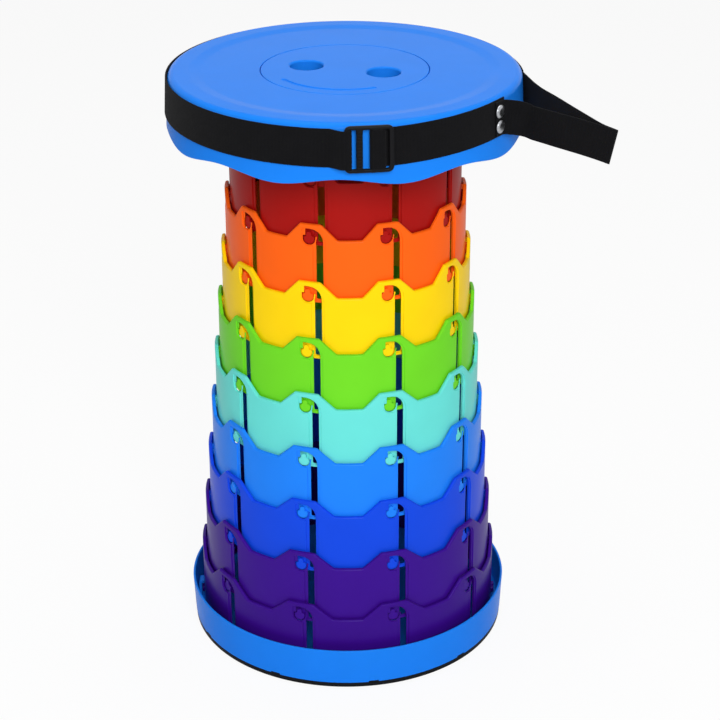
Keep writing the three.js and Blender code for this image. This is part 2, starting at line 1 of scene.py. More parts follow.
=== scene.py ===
# %% [markdown]
# # A telescopic stool that stands open
# The real stool is a blue seat on nine coloured rings that slide into each other, in a low blue tray.
# Black webbing runs round the seat and leaves it as a carrying loop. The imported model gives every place
# and size. This script gives each piece its fine surface, and leaves the moving bodies as they are.

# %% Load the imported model
import math

import bmesh
import bpy
from mathutils import Matrix, Vector
from mathutils.geometry import tessellate_polygon


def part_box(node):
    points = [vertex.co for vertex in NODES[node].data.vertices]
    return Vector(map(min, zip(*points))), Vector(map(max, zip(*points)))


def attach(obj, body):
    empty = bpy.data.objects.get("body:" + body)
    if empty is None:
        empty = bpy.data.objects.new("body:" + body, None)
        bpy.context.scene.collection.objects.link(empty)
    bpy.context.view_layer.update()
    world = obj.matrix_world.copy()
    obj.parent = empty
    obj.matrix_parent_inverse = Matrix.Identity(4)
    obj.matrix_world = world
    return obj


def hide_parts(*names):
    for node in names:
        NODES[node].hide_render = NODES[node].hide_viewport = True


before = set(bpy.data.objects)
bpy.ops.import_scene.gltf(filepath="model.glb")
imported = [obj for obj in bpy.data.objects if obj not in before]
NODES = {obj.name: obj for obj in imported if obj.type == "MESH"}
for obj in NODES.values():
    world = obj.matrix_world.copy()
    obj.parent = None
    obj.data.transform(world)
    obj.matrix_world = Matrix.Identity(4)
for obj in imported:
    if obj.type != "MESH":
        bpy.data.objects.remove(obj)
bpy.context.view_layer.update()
print("pieces of the packed model:", len(NODES))

# %% [markdown]
# The scene is in metres, but a stool is easier to read in millimetres. So every size below is written in
# millimetres, and one factor turns it into metres where a mesh is made. A direction round the stool is an
# azimuth in degrees, which is zero at the front and grows to the right.

# %% Units and directions
MM = 0.001
DEGREE = math.pi / 180
RIGHT = Vector((1, 0, 0))
BACK = Vector((0, 1, 0))
UP = Vector((0, 0, 1))


def outward(azimuth):
    return Vector((math.sin(azimuth * DEGREE), -math.cos(azimuth * DEGREE), 0))


def sideways(azimuth):
    return Vector((math.cos(azimuth * DEGREE), math.sin(azimuth * DEGREE), 0))


def corners_of(node):
    """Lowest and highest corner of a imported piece, in millimetres."""
    low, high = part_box(node)
    return low / MM, high / MM


def widest_radius(node, above):
    """Largest distance from the stool's axis among a piece's points that lie above a height."""
    points = [vertex.co / MM for vertex in NODES[node].data.vertices]
    return max(point.to_2d().length for point in points if point.z > above)


# %% [markdown]
# The photograph was taken from a little above the seat with a long lens. The camera stands where a fit of
# the seat, the rings and the tray put it, so that the stool's outline falls on the photograph's.

# %% Camera
SENSOR_MM = 36
LENS_MM = 98.18
FARTHEST_SIGHT = 20
CAMERA_BACK = 1359.2
CAMERA_HEIGHT = 859.1
CAMERA_DOWN = 25.325
CAMERA_TURN = 0.432
CAMERA_ROLL = 0.156

camera = bpy.data.objects.new("camera", bpy.data.cameras.new("camera"))
camera.data.sensor_width = SENSOR_MM
camera.data.lens = LENS_MM
camera.data.clip_end = FARTHEST_SIGHT
camera.location = Vector((0, -CAMERA_BACK, CAMERA_HEIGHT)) * MM
look = Matrix.Rotation(-CAMERA_TURN * DEGREE, 4, "Z") @ Matrix.Rotation((90 - CAMERA_DOWN) * DEGREE, 4, "X")
camera.rotation_euler = (look @ Matrix.Rotation(-CAMERA_ROLL * DEGREE, 4, "Z")).to_euler()
bpy.context.scene.collection.objects.link(camera)
bpy.context.scene.camera = camera

# %% [markdown]
# Product photographs like this one are lit by large soft boxes, which leave long soft highlights on glossy
# plastic. Area lamps do the same. The world adds an even light from all round, and is white where the
# camera, a glossy or a clear surface looks straight at it.

# %% World
AMBIENT = 0.24
WHITE = (1, 1, 1, 1)


def add_node(tree, kind, inputs, operation=None, output=0):
    """Adds a node whose inputs are values or outputs of other nodes. Gives one of its own outputs."""
    node = tree.nodes.new("ShaderNode" + kind)
    if operation:
        node.operation = operation
    for key, value in inputs.items():
        if isinstance(value, bpy.types.NodeSocket):
            tree.links.new(value, node.inputs[key])
        else:
            node.inputs[key].default_value = value
    return node.outputs[output] if len(node.outputs) else None


world = bpy.data.worlds.new("studio")
bpy.context.scene.world = world
world.use_nodes = True
studio = world.node_tree
studio.nodes.clear()
even = add_node(studio, "Background", {"Color": WHITE, "Strength": AMBIENT})
white = add_node(studio, "Background", {"Color": WHITE, "Strength": 1})
seen_white = 0
for ray in ("Camera", "Glossy", "Transmission"):
    seen = add_node(studio, "LightPath", {}, output=f"Is {ray} Ray")
    seen_white = add_node(studio, "Math", {0: seen_white, 1: seen}, "MAXIMUM")
choice = add_node(studio, "MixShader", {"Fac": seen_white, 1: even, 2: white})
add_node(studio, "OutputWorld", {"Surface": choice})


# %% Soft boxes
def soft_box(name, place, target, width, height, watts):
    """A rectangular lamp at a place in metres that faces a target."""
    lamp = bpy.data.objects.new(name, bpy.data.lights.new(name, "AREA"))
    lamp.data.shape = "RECTANGLE"
    lamp.data.size = width
    lamp.data.size_y = height
    lamp.data.energy = watts
    lamp.location = place
    lamp.rotation_euler = (Vector(target) - Vector(place)).to_track_quat("-Z", "Y").to_euler()
    bpy.context.scene.collection.objects.link(lamp)


LAMP_TARGET = (0, 0, 0.25)
soft_box("key_box", (0.3, -1.9, 1.4), LAMP_TARGET, 0.9, 0.9, 34)
soft_box("left_box", (-1.9, -0.6, 1.1), LAMP_TARGET, 0.4, 0.6, 3)
soft_box("top_box", (0, 0.2, 2.2), LAMP_TARGET, 1.4, 1.4, 17)
bpy.context.scene.view_settings.view_transform = "Standard"

# %% [markdown]
# The photograph shows the stool cut out on white. A pale floor under it catches a faint shadow. To the
# camera the floor is mostly a plain white, and to every other ray it is an ordinary matt floor, so it
# throws a natural light up under the seat.

# %% Floor
FLOOR_SIZE = 6
FLOOR_DROP_MM = 0.1
FLOOR_COLOUR = (0.93, 0.93, 0.93, 1)
FLOOR_WHITE_SHARE = 0.9


def make_floor():
    mesh = bpy.data.meshes.new("floor")
    half = FLOOR_SIZE / 2
    below = -FLOOR_DROP_MM * MM
    mesh.from_pydata([(-half, -half, below), (half, -half, below), (half, half, below), (-half, half, below)],
                     [], [(0, 1, 2, 3)])
    floor = bpy.data.objects.new("floor", mesh)
    bpy.context.scene.collection.objects.link(floor)
    material = bpy.data.materials.new("white_floor")
    material.use_nodes = True
    tree = material.node_tree
    tree.nodes.clear()
    seen = add_node(tree, "LightPath", {}, output="Is Camera Ray")
    share = add_node(tree, "Math", {0: seen, 1: FLOOR_WHITE_SHARE}, "MULTIPLY")
    matt = add_node(tree, "BsdfDiffuse", {"Color": FLOOR_COLOUR})
    glow = add_node(tree, "Emission", {"Strength": 1})
    mix = add_node(tree, "MixShader", {"Fac": share, 1: matt, 2: glow})
    add_node(tree, "OutputMaterial", {"Surface": mix})
    mesh.materials.append(material)


make_floor()

# %% [markdown]
# ## Materials
# The rings, the seat and the tray are moulded from a satin, slightly glossy plastic. Up close such a
# surface isn't one flat colour: it has a fine moulded grain, faint clouds where the plastic flowed, and a
# gloss that changes a little from place to place. Noise textures in the object's own coordinates give
# all three, so no picture and no unwrapping is needed.


# %% Material helper
class Recipe:
    """A material in the making, with short ways to add the nodes behind its shader."""

    def __init__(self, name, values):
        self.material = bpy.data.materials.new(name)
        self.material.use_nodes = True
        self.tree = self.material.node_tree
        self.shader = self.tree.nodes["Principled BSDF"]
        for key, value in values.items():
            self.shader.inputs[key].default_value = value

    def add(self, kind, inputs, operation=None, output=0):
        return add_node(self.tree, kind, inputs, operation, output)

    def noise(self, size_mm, detail):
        """Noise whose blobs are about this many millimetres across."""
        place = self.add("TexCoord", {}, output="Object")
        return self.add("TexNoise", {"Scale": 1 / (size_mm * MM), "Detail": detail, "Vector": place})

    def spread(self, value, low, high):
        """Maps a 0 to 1 value to a range."""
        return self.add("MapRange", {"Value": value, "To Min": low, "To Max": high})

    def calc(self, operation, *values):
        return self.add("Math", dict(enumerate(values)), operation)

    def wave(self, distance, pitch_mm):
        """A sine of a distance in metres, with a pitch in millimetres."""
        return self.calc("SINE", self.calc("MULTIPLY", distance, 2 * math.pi / (pitch_mm * MM)))

    def finish(self, colour, tint, roughness, height, strength, depth_mm):
        """Links the tinted colour, the roughness and the relief, and gives the material."""
        wiring = {
            "Base Color": self.add("VectorMath", {0: linear(*colour), "Scale": tint}, "SCALE"),
            "Roughness": roughness,
            "Normal": self.add("Bump", {"Strength": strength, "Distance": depth_mm * MM, "Height": height}),
        }
        for key, value in wiring.items():
            self.tree.links.new(value, self.shader.inputs[key])
        return self.material


def linear(*screen):
    """A colour given as 0 to 255 screen values, in the linear values that shaders use."""
    shares = [value / 255 for value in screen]
    return [share / 12.92 if share <= 0.04045 else ((share + 0.055) / 1.055) ** 2.4 for share in shares]


# %% Moulded plastic
GRAIN_MM = 0.45
GRAIN_DEPTH_MM = 0.1
CLOUD_MM = 28
CLOUD_SHARE = 0.05
GLOSS_CHANGE = 0.12


def moulded_plastic(name, colour, roughness=0.3, grain=0.06, gloss=0.07):
    recipe = Recipe(name, {"Specular IOR Level": gloss})
    return recipe.finish(
        colour,
        tint=recipe.spread(recipe.noise(CLOUD_MM, 3), 1 - CLOUD_SHARE, 1 + CLOUD_SHARE),
        roughness=recipe.spread(recipe.noise(CLOUD_MM / 4, 4),
                                roughness * (1 - GLOSS_CHANGE), roughness * (1 + GLOSS_CHANGE)),
        height=recipe.noise(GRAIN_MM, 3), strength=grain, depth_mm=GRAIN_DEPTH_MM)


RING_COLOURS = {
    # The red is darker than the plastic's own red: part of the seat's shadow on the red ring is painted into
    # it as painted shade.
    "red": (165, 18, 14),
    "orange": (255, 100, 18),
    "yellow": (255, 214, 8),
    "green": (112, 216, 38),
    "turquoise": (104, 222, 214),
    "sky": (30, 130, 246),
    "royal": (18, 72, 222),
    "violet": (58, 14, 138),
    "purple": (56, 12, 132),
}
ring_plastic = {name: moulded_plastic(f"{name}_plastic", rgb) for name, rgb in RING_COLOURS.items()}
seat_plastic = moulded_plastic("seat_blue_plastic", (28, 128, 238), 0.24, gloss=0.035)
black_plastic = moulded_plastic("black_plastic", (20, 20, 22), 0.42, 0.15)

# %% [markdown]
# The webbing is woven from black yarn, with fine rows of raised loops across it. A woven relief needs
# coordinates that follow the strap, so the strap meshes below carry a map of distance along and across,
# and sine waves turn it into loops. The raised loops and ribs are also painted lighter, as a painted
# highlight.

# %% Woven webbing
ROW_PITCH_MM = 1.3
LOOP_PITCH_MM = 1.05
RIB_SHARE = 0.2
FUZZ_MM = 0.5
FUZZ_SHARE = 0.8
WORN_MM = 9
WEBBING_GLOSS = 0.05
WEBBING_SHEEN = 0.02
SHEEN_ROUGHNESS = 0.5
WEAVE_STRENGTH = 0.55
WEAVE_DEPTH_MM = 0.22


def woven_webbing(name, colour):
    recipe = Recipe(name, {"Specular IOR Level": WEBBING_GLOSS, "Sheen Weight": WEBBING_SHEEN,
                           "Sheen Roughness": SHEEN_ROUGHNESS})
    weave = recipe.add("UVMap", {})
    along, across = (recipe.add("SeparateXYZ", {0: weave}, output=axis) for axis in "XY")
    loops = recipe.calc("MULTIPLY", recipe.wave(along, ROW_PITCH_MM), recipe.wave(across, LOOP_PITCH_MM))
    ribs = recipe.calc("MULTIPLY", recipe.wave(along, ROW_PITCH_MM * 2), RIB_SHARE)
    relief = recipe.calc("ADD", loops, ribs)
    fuzz = recipe.noise(FUZZ_MM, 4)
    clouds = recipe.spread(recipe.noise(WORN_MM, 4), 0.8, 1.25)
    return recipe.finish(
        colour,
        # Painted highlight: the colour is lighter where the weave is raised, on the tops of the loops and
        # ribs.
        tint=recipe.calc("MULTIPLY", recipe.spread(relief, 0.85, 1.5), clouds),
        roughness=recipe.spread(fuzz, 0.62, 0.86),
        height=recipe.calc("ADD", relief, recipe.calc("MULTIPLY", fuzz, FUZZ_SHARE)),
        strength=WEAVE_STRENGTH, depth_mm=WEAVE_DEPTH_MM)


webbing = woven_webbing("black_webbing", (15, 15, 17))

# %% [markdown]
# The rivets and screws are plated steel. Plating is a metal with a soft sheen and faint scratches, and its
# colour is a light grey, because a metal's colour is the colour of its reflection.


# %% Plated steel
STAIN_MM = 2.5
SCRATCH_MM = 1.2
PIT_MM = 0.3
PIT_DEPTH_MM = 0.05


def plated_steel(name, colour):
    recipe = Recipe(name, {"Metallic": 1})
    return recipe.finish(
        colour,
        tint=recipe.spread(recipe.noise(STAIN_MM, 4), 0.85, 1.1),
        roughness=recipe.spread(recipe.noise(SCRATCH_MM, 5), 0.22, 0.38),
        height=recipe.noise(PIT_MM, 3), strength=0.12, depth_mm=PIT_DEPTH_MM)


steel = plated_steel("plated_steel", (176, 178, 182))

# %% [markdown]
# ## Drawing a moulding
# Every moulded piece here is a flat drawing with thickness: an outline, some holes and some shallow
# recesses, all with softly rounded edges. A bevel modifier can't round such long thin shapes cleanly once
# they are bent round a ring. So the edges are drawn directly. An outline is a list of corners with their
# radii, walked so that the material lies on the left. Each point keeps the direction out of the material,
# and rows of points, pushed in and down along a quarter circle, make the rounded edge.


# %% Rounded outlines
ARC_STEPS = 5


def rounded(corners, closed=True):
    """Points and outward directions along an outline of (x, y, radius) corners."""
    track = []
    for i, (x, y, radius) in enumerate(corners):
        here = Vector((x, y))
        before = Vector(corners[i - 1][:2])
        after = Vector(corners[(i + 1) % len(corners)][:2])
        if not closed and i in (0, len(corners) - 1):
            along = after - here if i == 0 else here - before
            along.normalize()
            track.append((here, Vector((along.y, -along.x))))
            continue
        into = (here - before).normalized()
        onto = (after - here).normalized()
        turn = math.atan2(into.cross(onto), into.dot(onto))
        side = 1 if turn > 0 else -1
        first = Vector((into.y, -into.x))
        start = here - into * radius * math.tan(abs(turn) / 2)
        centre = start - first * radius * side
        steps = max(2, math.ceil(ARC_STEPS * abs(turn) / (math.pi / 2)))
        for k in range(steps + 1):
            normal = Matrix.Rotation(turn * k / steps, 2) @ first
            track.append((centre + normal * radius * side, normal))
    return track


def circle_track(x, y, radius, steps, hole=False):
    """A round outline, or the rim of a round hole."""
    track = []
    for k in range(steps):
        angle = 2 * math.pi * k / steps * (-1 if hole else 1)
        normal = Vector((math.cos(angle), math.sin(angle)))
        track.append((Vector((x, y)) + normal * radius, -normal if hole else normal))
    return track


def rectangle(left, bottom, right, top, corner_round):
    """Corners of a rectangle, for rounded."""
    return [(x, y, corner_round) for x, y in ((left, bottom), (right, bottom), (right, top), (left, top))]


# %% Rows of a rounded edge
ROW_STEPS = 3
QUARTER = math.pi / 2


def round_rows(start, end, push, level, rise, up):
    """Rows (push in, height, share outward, share up) along a quarter circle between two angles."""
    angles = [start + (end - start) * k / ROW_STEPS for k in range(ROW_STEPS + 1)]
    return [(push * (1 - math.sin(angle)), level + rise * (1 - math.cos(angle)),
             math.sin(angle), up * math.cos(angle)) for angle in angles]


def edge_rows(front, back, front_round, back_round):
    """Rows from a front face over a wall to a back face."""
    return (round_rows(0, QUARTER, front_round, front, -front_round, 1)
            + round_rows(QUARTER, 0, back_round, back, back_round, -1))


def step_rows(face, floor, edge_round, foot_round):
    """Rows from a face down a step to a floor, or up to one where the face is the back."""
    side = 1 if face > floor else -1
    return (round_rows(0, QUARTER, edge_round, face, -side * edge_round, side)
            + round_rows(QUARTER, 0, -foot_round, floor, side * foot_round, side))


# %% [markdown]
# A moulding is collected in one bmesh. Skins run along the outlines and fills close the flat faces between
# them. Each point stores its true direction, because a smooth shade worked out from long thin triangles
# would show streaks on a glossy surface.


# %% Moulding builder
class Moulding:
    """A flat drawing with rounded edges, in millimetres: x and y in the drawing, z towards the viewer."""

    def __init__(self):
        self.mesh = bmesh.new()
        self.normal = self.mesh.verts.layers.float_vector.new("true_normal")

    def skin(self, track, rows, closed=True):
        """Walls along a track, one strip for each pair of rows. Gives back the first and last row."""
        grid = []
        for push, height, across, up in rows:
            line = []
            for point, normal in track:
                vertex = self.mesh.verts.new((*(point - normal * push), height))
                vertex[self.normal] = (normal.x * across, normal.y * across, up)
                line.append(vertex)
            grid.append(line)
        downward = rows[0][1] > rows[-1][1]
        for upper, lower in zip(grid, grid[1:]):
            for i in range(len(track) - (0 if closed else 1)):
                j = (i + 1) % len(track)
                face = (upper[i], lower[i], lower[j], upper[j])
                self.mesh.faces.new(face if downward else face[::-1])
        return grid[0], grid[-1]

    def fill(self, outline, holes=(), facing=1):
        """A flat face between an outline and its holes."""
        loops = [outline, *holes]
        flat = [vertex for loop in loops for vertex in loop]
        for triangle in tessellate_polygon([[vertex.co for vertex in loop] for loop in loops]):
            a, b, c = (flat[i] for i in triangle)
            turn = (b.co - a.co).cross(c.co - a.co).z
            if abs(turn) < 1e-9:
                continue
            face = (a, b, c) if turn * facing > 0 else (c, b, a)
            if self.mesh.faces.get(face) is None:
                self.mesh.faces.new(face)

    def slice_at(self, places):
        """Cuts all faces along upright lines, so that the drawing can be bent round."""
        for x in places:
            everything = self.mesh.verts[:] + self.mesh.edges[:] + self.mesh.faces[:]
            bmesh.ops.bisect_plane(self.mesh, geom=everything, dist=1e-5, plane_co=(x, 0, 0), plane_no=RIGHT)

    def data(self):
        """Points, directions and faces as plain lists."""
        self.mesh.verts.index_update()
        points = [vertex.co.copy() for vertex in self.mesh.verts]
        normals = [vertex[self.normal].copy() for vertex in self.mesh.verts]
        faces = [[vertex.index for vertex in face.verts] for face in self.mesh.faces]
        self.mesh.free()
        return points, normals, faces


def slab(outline, rows, holes=(), slices=()):
    """A flat piece with holes, and with cuts at which it can be bent."""
    moulding = Moulding()
    front, back = moulding.skin(outline, rows)
    walls = [moulding.skin(hole, rows) for hole in holes]
    moulding.fill(front, [first for first, last in walls])
    moulding.fill(back, [last for first, last in walls], facing=-1)
    moulding.slice_at(slices)
    return moulding.data()


def bored_disc(radius, bore, thickness, edge, steps):
    """A round plate from z = 0 down, with a hole."""
    hole = circle_track(0, 0, bore, 24, hole=True)
    return slab(circle_track(0, 0, radius, steps), edge_rows(0, -thickness, edge, edge), [hole])


# %% Mesh collector
class Piece:
    """Gathers placed mouldings into one mesh with its true directions."""

    def __init__(self):
        self.points = []
        self.normals = []
        self.faces = []

    def add(self, data, place):
        """Adds a moulding. place turns a point and a direction into millimetres in the stool's frame."""
        points, normals, faces = data
        base = len(self.points)
        for point, normal in zip(points, normals):
            moved, turned = place(point, normal)
            self.points.append(moved)
            self.normals.append(turned.normalized())
        self.faces += [[base + i for i in face] for face in faces]

    def weld(self):
        """Joins points that share a place and a direction."""
        seen = {}
        renamed = []
        for point, normal in zip(self.points, self.normals):
            key = (*(round(value, 3) for value in point), *(round(value, 1) for value in normal))
            renamed.append(seen.setdefault(key, len(seen)))
        first = {}
        for old, new in enumerate(renamed):
            first.setdefault(new, old)
        self.points = [self.points[first[i]] for i in range(len(seen))]
        self.normals = [self.normals[first[i]] for i in range(len(seen))]
        faces = []
        for face in self.faces:
            ring = [renamed[i] for i in face]
            ring = [v for k, v in enumerate(ring) if v != ring[k - 1]]
            if len(set(ring)) == len(ring) > 2:
                faces.append(ring)
        self.faces = faces

    def build(self, name, material, node, body):
        """Makes the Blender object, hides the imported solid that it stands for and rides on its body."""
        mesh = bpy.data.meshes.new(name)
        mesh.from_pydata([point * MM for point in self.points], [], self.faces)
        mesh.validate()
        mesh.polygons.foreach_set("use_smooth", [True] * len(mesh.polygons))
        mesh.materials.append(material)
        mesh.normals_split_custom_set_from_vertices(self.normals)
        obj = bpy.data.objects.new(name, mesh)
        bpy.context.scene.collection.objects.link(obj)
        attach(obj, body)
        if node:
            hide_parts(node)
        print(name, "faces:", len(mesh.polygons))
        return obj


def assemble(name, parts, material, node, body="seat_body", weld=True):
    """Builds a piece from mouldings, each with its place. A welded one has its seams closed."""
    piece = Piece()
    for data, place in parts:
        piece.add(data, place)
    if weld:
        piece.weld()
    return piece.build(name, material, node, body)


# %% Ways to place a moulding
def bent(radius, azimuth, bottom):
    """Wraps a drawing round the stool: x runs along the rim and z points outward."""
    def place(point, normal):
        turned = azimuth + point.x / radius / DEGREE
        out, side = outward(turned), sideways(turned)
        moved = out * (radius + point.z) + UP * (bottom + point.y)
        return moved, side * normal.x + UP * normal.y + out * normal.z
    return place


def framed(x_axis, y_axis, z_axis, origin):
    """Places a drawing with its axes along three directions."""
    def turn(vector):
        return x_axis * vector.x + y_axis * vector.y + z_axis * vector.z

    def place(point, normal):
        return origin + turn(point), turn(normal)
    return place


def facing(azimuth, radius, height):
    """Stands a flat drawing upright, facing outward."""
    out = outward(azimuth)
    return framed(sideways(azimuth), UP, out, out * radius + UP * height)


def standing(azimuth, radius, height):
    """Lays a drawing flat, with x outward, y to the side and z up."""
    out = outward(azimuth)
    return framed(out, sideways(azimuth), UP, out * radius + UP * height)


def profiled(azimuth):
    """Stands a drawing of radius and height in a plane through the axis."""
    return framed(outward(azimuth), UP, -sideways(azimuth), Vector())


def lying(height):
    """Lays a flat drawing down, facing up."""
    return framed(RIGHT, BACK, UP, UP * height)


# %% [markdown]
# Round pieces are turned, as on a lathe: a profile of radius and height is repeated at many azimuths. A
# shift then moves single points up or down, where an edge isn't level all the way round.

# %% Turned pieces
def rim(profile, stations, shift=None, closed=True):
    """A profile of (radius, height, corner radius) turned through azimuth stations; shift moves points."""
    track = rounded(profile, closed=closed)
    points, normals, faces = [], [], []
    for azimuth in stations:
        out = outward(azimuth)
        for point, normal in track:
            rise = shift(azimuth, point) if shift else 0
            points.append(out * point.x + UP * (point.y + rise))
            normals.append(out * normal.x + UP * normal.y)
    count = len(track)
    for k in range(len(stations)):
        here, after = k * count, (k + 1) % len(stations) * count
        for j in range(count if closed else count - 1):
            following = (j + 1) % count
            faces.append([here + j, after + j, after + following, here + following])
    return points, normals, faces


def turned(profile, steps=48):
    """A small profile from the axis to the axis, turned about z."""
    return rim(profile, [90 + k * 360 / steps for k in range(steps)], closed=False)


def even_stations(count, extra=()):
    regular = [k * 360 / count for k in range(count)]
    apart = 360 / count / 4
    kept = [a for a in regular if all(abs((a - e + 180) % 360 - 180) > apart for e in extra)]
    return sorted({*kept, *(e % 360 for e in extra)})


# %% [markdown]
# ## The telescoping rings
# Each ring is a thin tube with a castle-shaped top edge. Below every hump a window is cut: a pocket that
# holds the lug of the ring above it, a springy lip beside the pocket and a long slot. Along the slot the
# wall is a little thinner, and behind the pocket a blind groove lets the lug travel down. The drawing is
# made once for one hump, in millimetres along the rim, and is then bent round and repeated ten times.

# %% Sizes of a ring
SLOTS = 10
PERIOD = 360 / SLOTS
LOWEST_SLOT_AZIMUTH = -14.7
RING_TWIST = 0.38
HUMP_HEIGHT = 11
HUMP_LIFT = 0.3
HUMP_AZIMUTHS = (11.5, 3.9, -6.15, -13.2)
HUMP_ROUNDS = (3, 3.2, 1.6, 2)
RIM_ROUND = 1.4
INNER_RIM_ROUND = 0.4
FOOT_LIFT = 0.6
RING_WALL = 2.6
LUG_WIDTH = 7.9
POCKET_WIDTH = 8.9
LIP_WIDTH = 1.1
LIP_HEIGHT = 6.4
LIP_NECK = 1.9
LIP_WAIST = 0.3
LIP_LEAN = 0.5
SLOT_WIDTH = 4.9
SLOT_FOOT = 3.3
ARCH_RADIUS = 9.6
WINDOW_BOTTOM = 43.8
WINDOW_TOP = 55.8
SHELF_WIDTH = 1.9
SHELF_RISE = 7
WINDOW_WIDTH = POCKET_WIDTH + LIP_WIDTH + SLOT_WIDTH
WINDOW_EDGE = 0.35
WINDOW_BACK_EDGE = 0.15
RECESS_DEPTH = 0.7
RECESS_EDGE = 0.2
LEDGE = 0.5
LEFT_STRIP = 2.5
RIGHT_STRIP = 1.9
GROOVE_DEPTH = 1.3
GROOVE_FOOT = 1.7
GROOVE_EDGE = 0.2
STEP_FOOT = 0.12
FOOT_EDGE = 0.4
BEND_STEP = 1.5

RING_NAMES = ["purple", "violet", "royal", "sky", "turquoise", "green", "yellow", "orange", "red"]
ring_sizes = {}
for number, name in enumerate(RING_NAMES):
    low, high = corners_of(f"ring_{name}")
    ring_sizes[name] = {
        "radius": widest_radius(f"ring_{name}", low.z + HUMP_HEIGHT * 2),
        "bottom": low.z,
        "height": high.z - low.z,
        "slot_azimuth": LOWEST_SLOT_AZIMUTH + number * RING_TWIST,
    }
RING_PITCH = ring_sizes["purple"]["radius"] - ring_sizes["violet"]["radius"]
print({name: round(size["radius"], 1) for name, size in ring_sizes.items()})


# %% Window outlines
def window_corners():
    """The hole through the wall, walked with the material on the left."""
    left, right = -WINDOW_WIDTH / 2, WINDOW_WIDTH / 2
    slot_left = right - SLOT_WIDTH
    pocket_round = POCKET_WIDTH / 2 - 0.05
    lip_top = WINDOW_BOTTOM + LIP_HEIGHT
    lip_round = LIP_WIDTH / 2 - 0.02
    neck = WINDOW_BOTTOM + LIP_NECK
    shelf = WINDOW_BOTTOM + SHELF_RISE
    return [
        (left + SHELF_WIDTH, WINDOW_TOP, 0.4),
        (right, WINDOW_TOP, ARCH_RADIUS),
        (right, SLOT_FOOT, 1),
        (slot_left, SLOT_FOOT, 1),
        (slot_left, WINDOW_BOTTOM - LEDGE, 1),
        (slot_left - LIP_WAIST, neck, 1),
        (slot_left + LIP_LEAN, lip_top, lip_round),
        (slot_left + LIP_LEAN - LIP_WIDTH, lip_top, lip_round),
        (slot_left - LIP_WIDTH, WINDOW_BOTTOM, pocket_round),
        (left, WINDOW_BOTTOM, pocket_round),
        (left, shelf, 0.4),
        (left + SHELF_WIDTH, shelf, 0.4),
    ]


def recess_corners():
    """The thinner strip round the window on the outer face."""
    left, right = -WINDOW_WIDTH / 2, WINDOW_WIDTH / 2
    slot_left = right - SLOT_WIDTH
    foot = SLOT_FOOT - LEDGE
    return [
        (left - LEDGE, WINDOW_TOP + LEDGE, 1.2),
        (right + RIGHT_STRIP, WINDOW_TOP + LEDGE, ARCH_RADIUS + RIGHT_STRIP),
        (right + RIGHT_STRIP, foot, 0.8),
        (slot_left - LEFT_STRIP, foot, 0.8),
        (slot_left - LEFT_STRIP, WINDOW_BOTTOM - LEDGE, 0.8),
        (left - LEDGE, WINDOW_BOTTOM - LEDGE, POCKET_WIDTH / 2),
    ]


def groove_corners():
    """The guide groove on the inner face."""
    left, right = -WINDOW_WIDTH / 2 - LEDGE, WINDOW_WIDTH / 2 + LEDGE
    return [
        (left, WINDOW_TOP + LEDGE, 1),
        (right, WINDOW_TOP + LEDGE, ARCH_RADIUS + LEDGE),
        (right, GROOVE_FOOT, 0.8),
        (left, GROOVE_FOOT, 0.8),
    ]


# %% One period of a ring
def hump_centre(size):
    """A hump's azimuth: half of what lies left of the slot is taken off the slot's azimuth."""
    return size["slot_azimuth"] - (WINDOW_WIDTH - SLOT_WIDTH) / 2 / size["radius"] / DEGREE


def pocket_azimuth(size, shift=0):
    """Where a ring's foot lies behind a pocket of the next ring out."""
    outer = {"radius": size["radius"] + RING_PITCH, "slot_azimuth": size["slot_azimuth"] - RING_TWIST}
    return hump_centre(outer) + (shift + (POCKET_WIDTH - WINDOW_WIDTH) / 2) / outer["radius"] / DEGREE


def castle_top(radius, height, dip):
    """The top edge from the middle of one valley to the next, right to left."""
    along = radius * DEGREE
    half = PERIOD / 2 * along
    if not dip:
        return [(half, height, 0), (-half, height, 0)]
    top, valley = height + HUMP_LIFT, height - dip - HUMP_LIFT
    levels = (valley, top, top, valley)
    corners = [(azimuth * along, level, turn)
               for azimuth, level, turn in zip(HUMP_AZIMUTHS, levels, HUMP_ROUNDS)]
    return [(half, valley, 0), *corners, (-half, valley, 0)]


def ring_period(radius, height, dip):
    """One hump and its window, or a plain stretch of tube where there is no dip."""
    half = PERIOD / 2 * radius * DEGREE
    cell = Moulding()
    wall = edge_rows(0, -RING_WALL, RIM_ROUND, INNER_RIM_ROUND)
    top_edge = rounded(castle_top(radius, height, dip), closed=False)
    top_front, top_back = cell.skin(top_edge, wall, closed=False)
    low_edge = rounded([(-half, FOOT_LIFT, 0), (half, FOOT_LIFT, 0)], closed=False)
    low_front, low_back = cell.skin(
        low_edge, edge_rows(0, -RING_WALL, FOOT_EDGE, FOOT_EDGE), closed=False)
    front_holes, back_holes = [], []
    if dip:
        front_floor = -RECESS_DEPTH
        back_floor = GROOVE_DEPTH - RING_WALL
        hole_front, hole_back = cell.skin(
            rounded(window_corners()), edge_rows(front_floor, back_floor, WINDOW_EDGE, WINDOW_BACK_EDGE))
        recess_front, recess_floor = cell.skin(
            rounded(recess_corners()), step_rows(0, front_floor, RECESS_EDGE, STEP_FOOT))
        groove_back, groove_floor = cell.skin(
            rounded(groove_corners()), step_rows(-RING_WALL, back_floor, GROOVE_EDGE, STEP_FOOT))
        cell.fill(recess_floor, [hole_front])
        cell.fill(groove_floor, [hole_back], facing=-1)
        front_holes, back_holes = [recess_front], [groove_back]
    cell.fill([*low_front, *top_front], front_holes)
    cell.fill([*low_back, *top_back], back_holes, facing=-1)
    count = round(PERIOD / BEND_STEP)
    cell.slice_at([-half + 2 * half * k / count for k in range(1, count)])
    return cell.data()


# %% [markdown]
# A lug is what locks two rings: a round foot with a narrower bump on top. It sits on the outside of a
# ring's foot and shows through the pocket of the next ring out.

# %% Lugs
LUG_FOOT = 1.9
LUG_REACH = 2.2
LUG_SHOULDER = 7.9
LUG_TOP = 11.1
LUG_TIP_WIDTH = 3.9
LUG_TIP_SHIFT = -0.2
LUG_SHIFT = -0.1


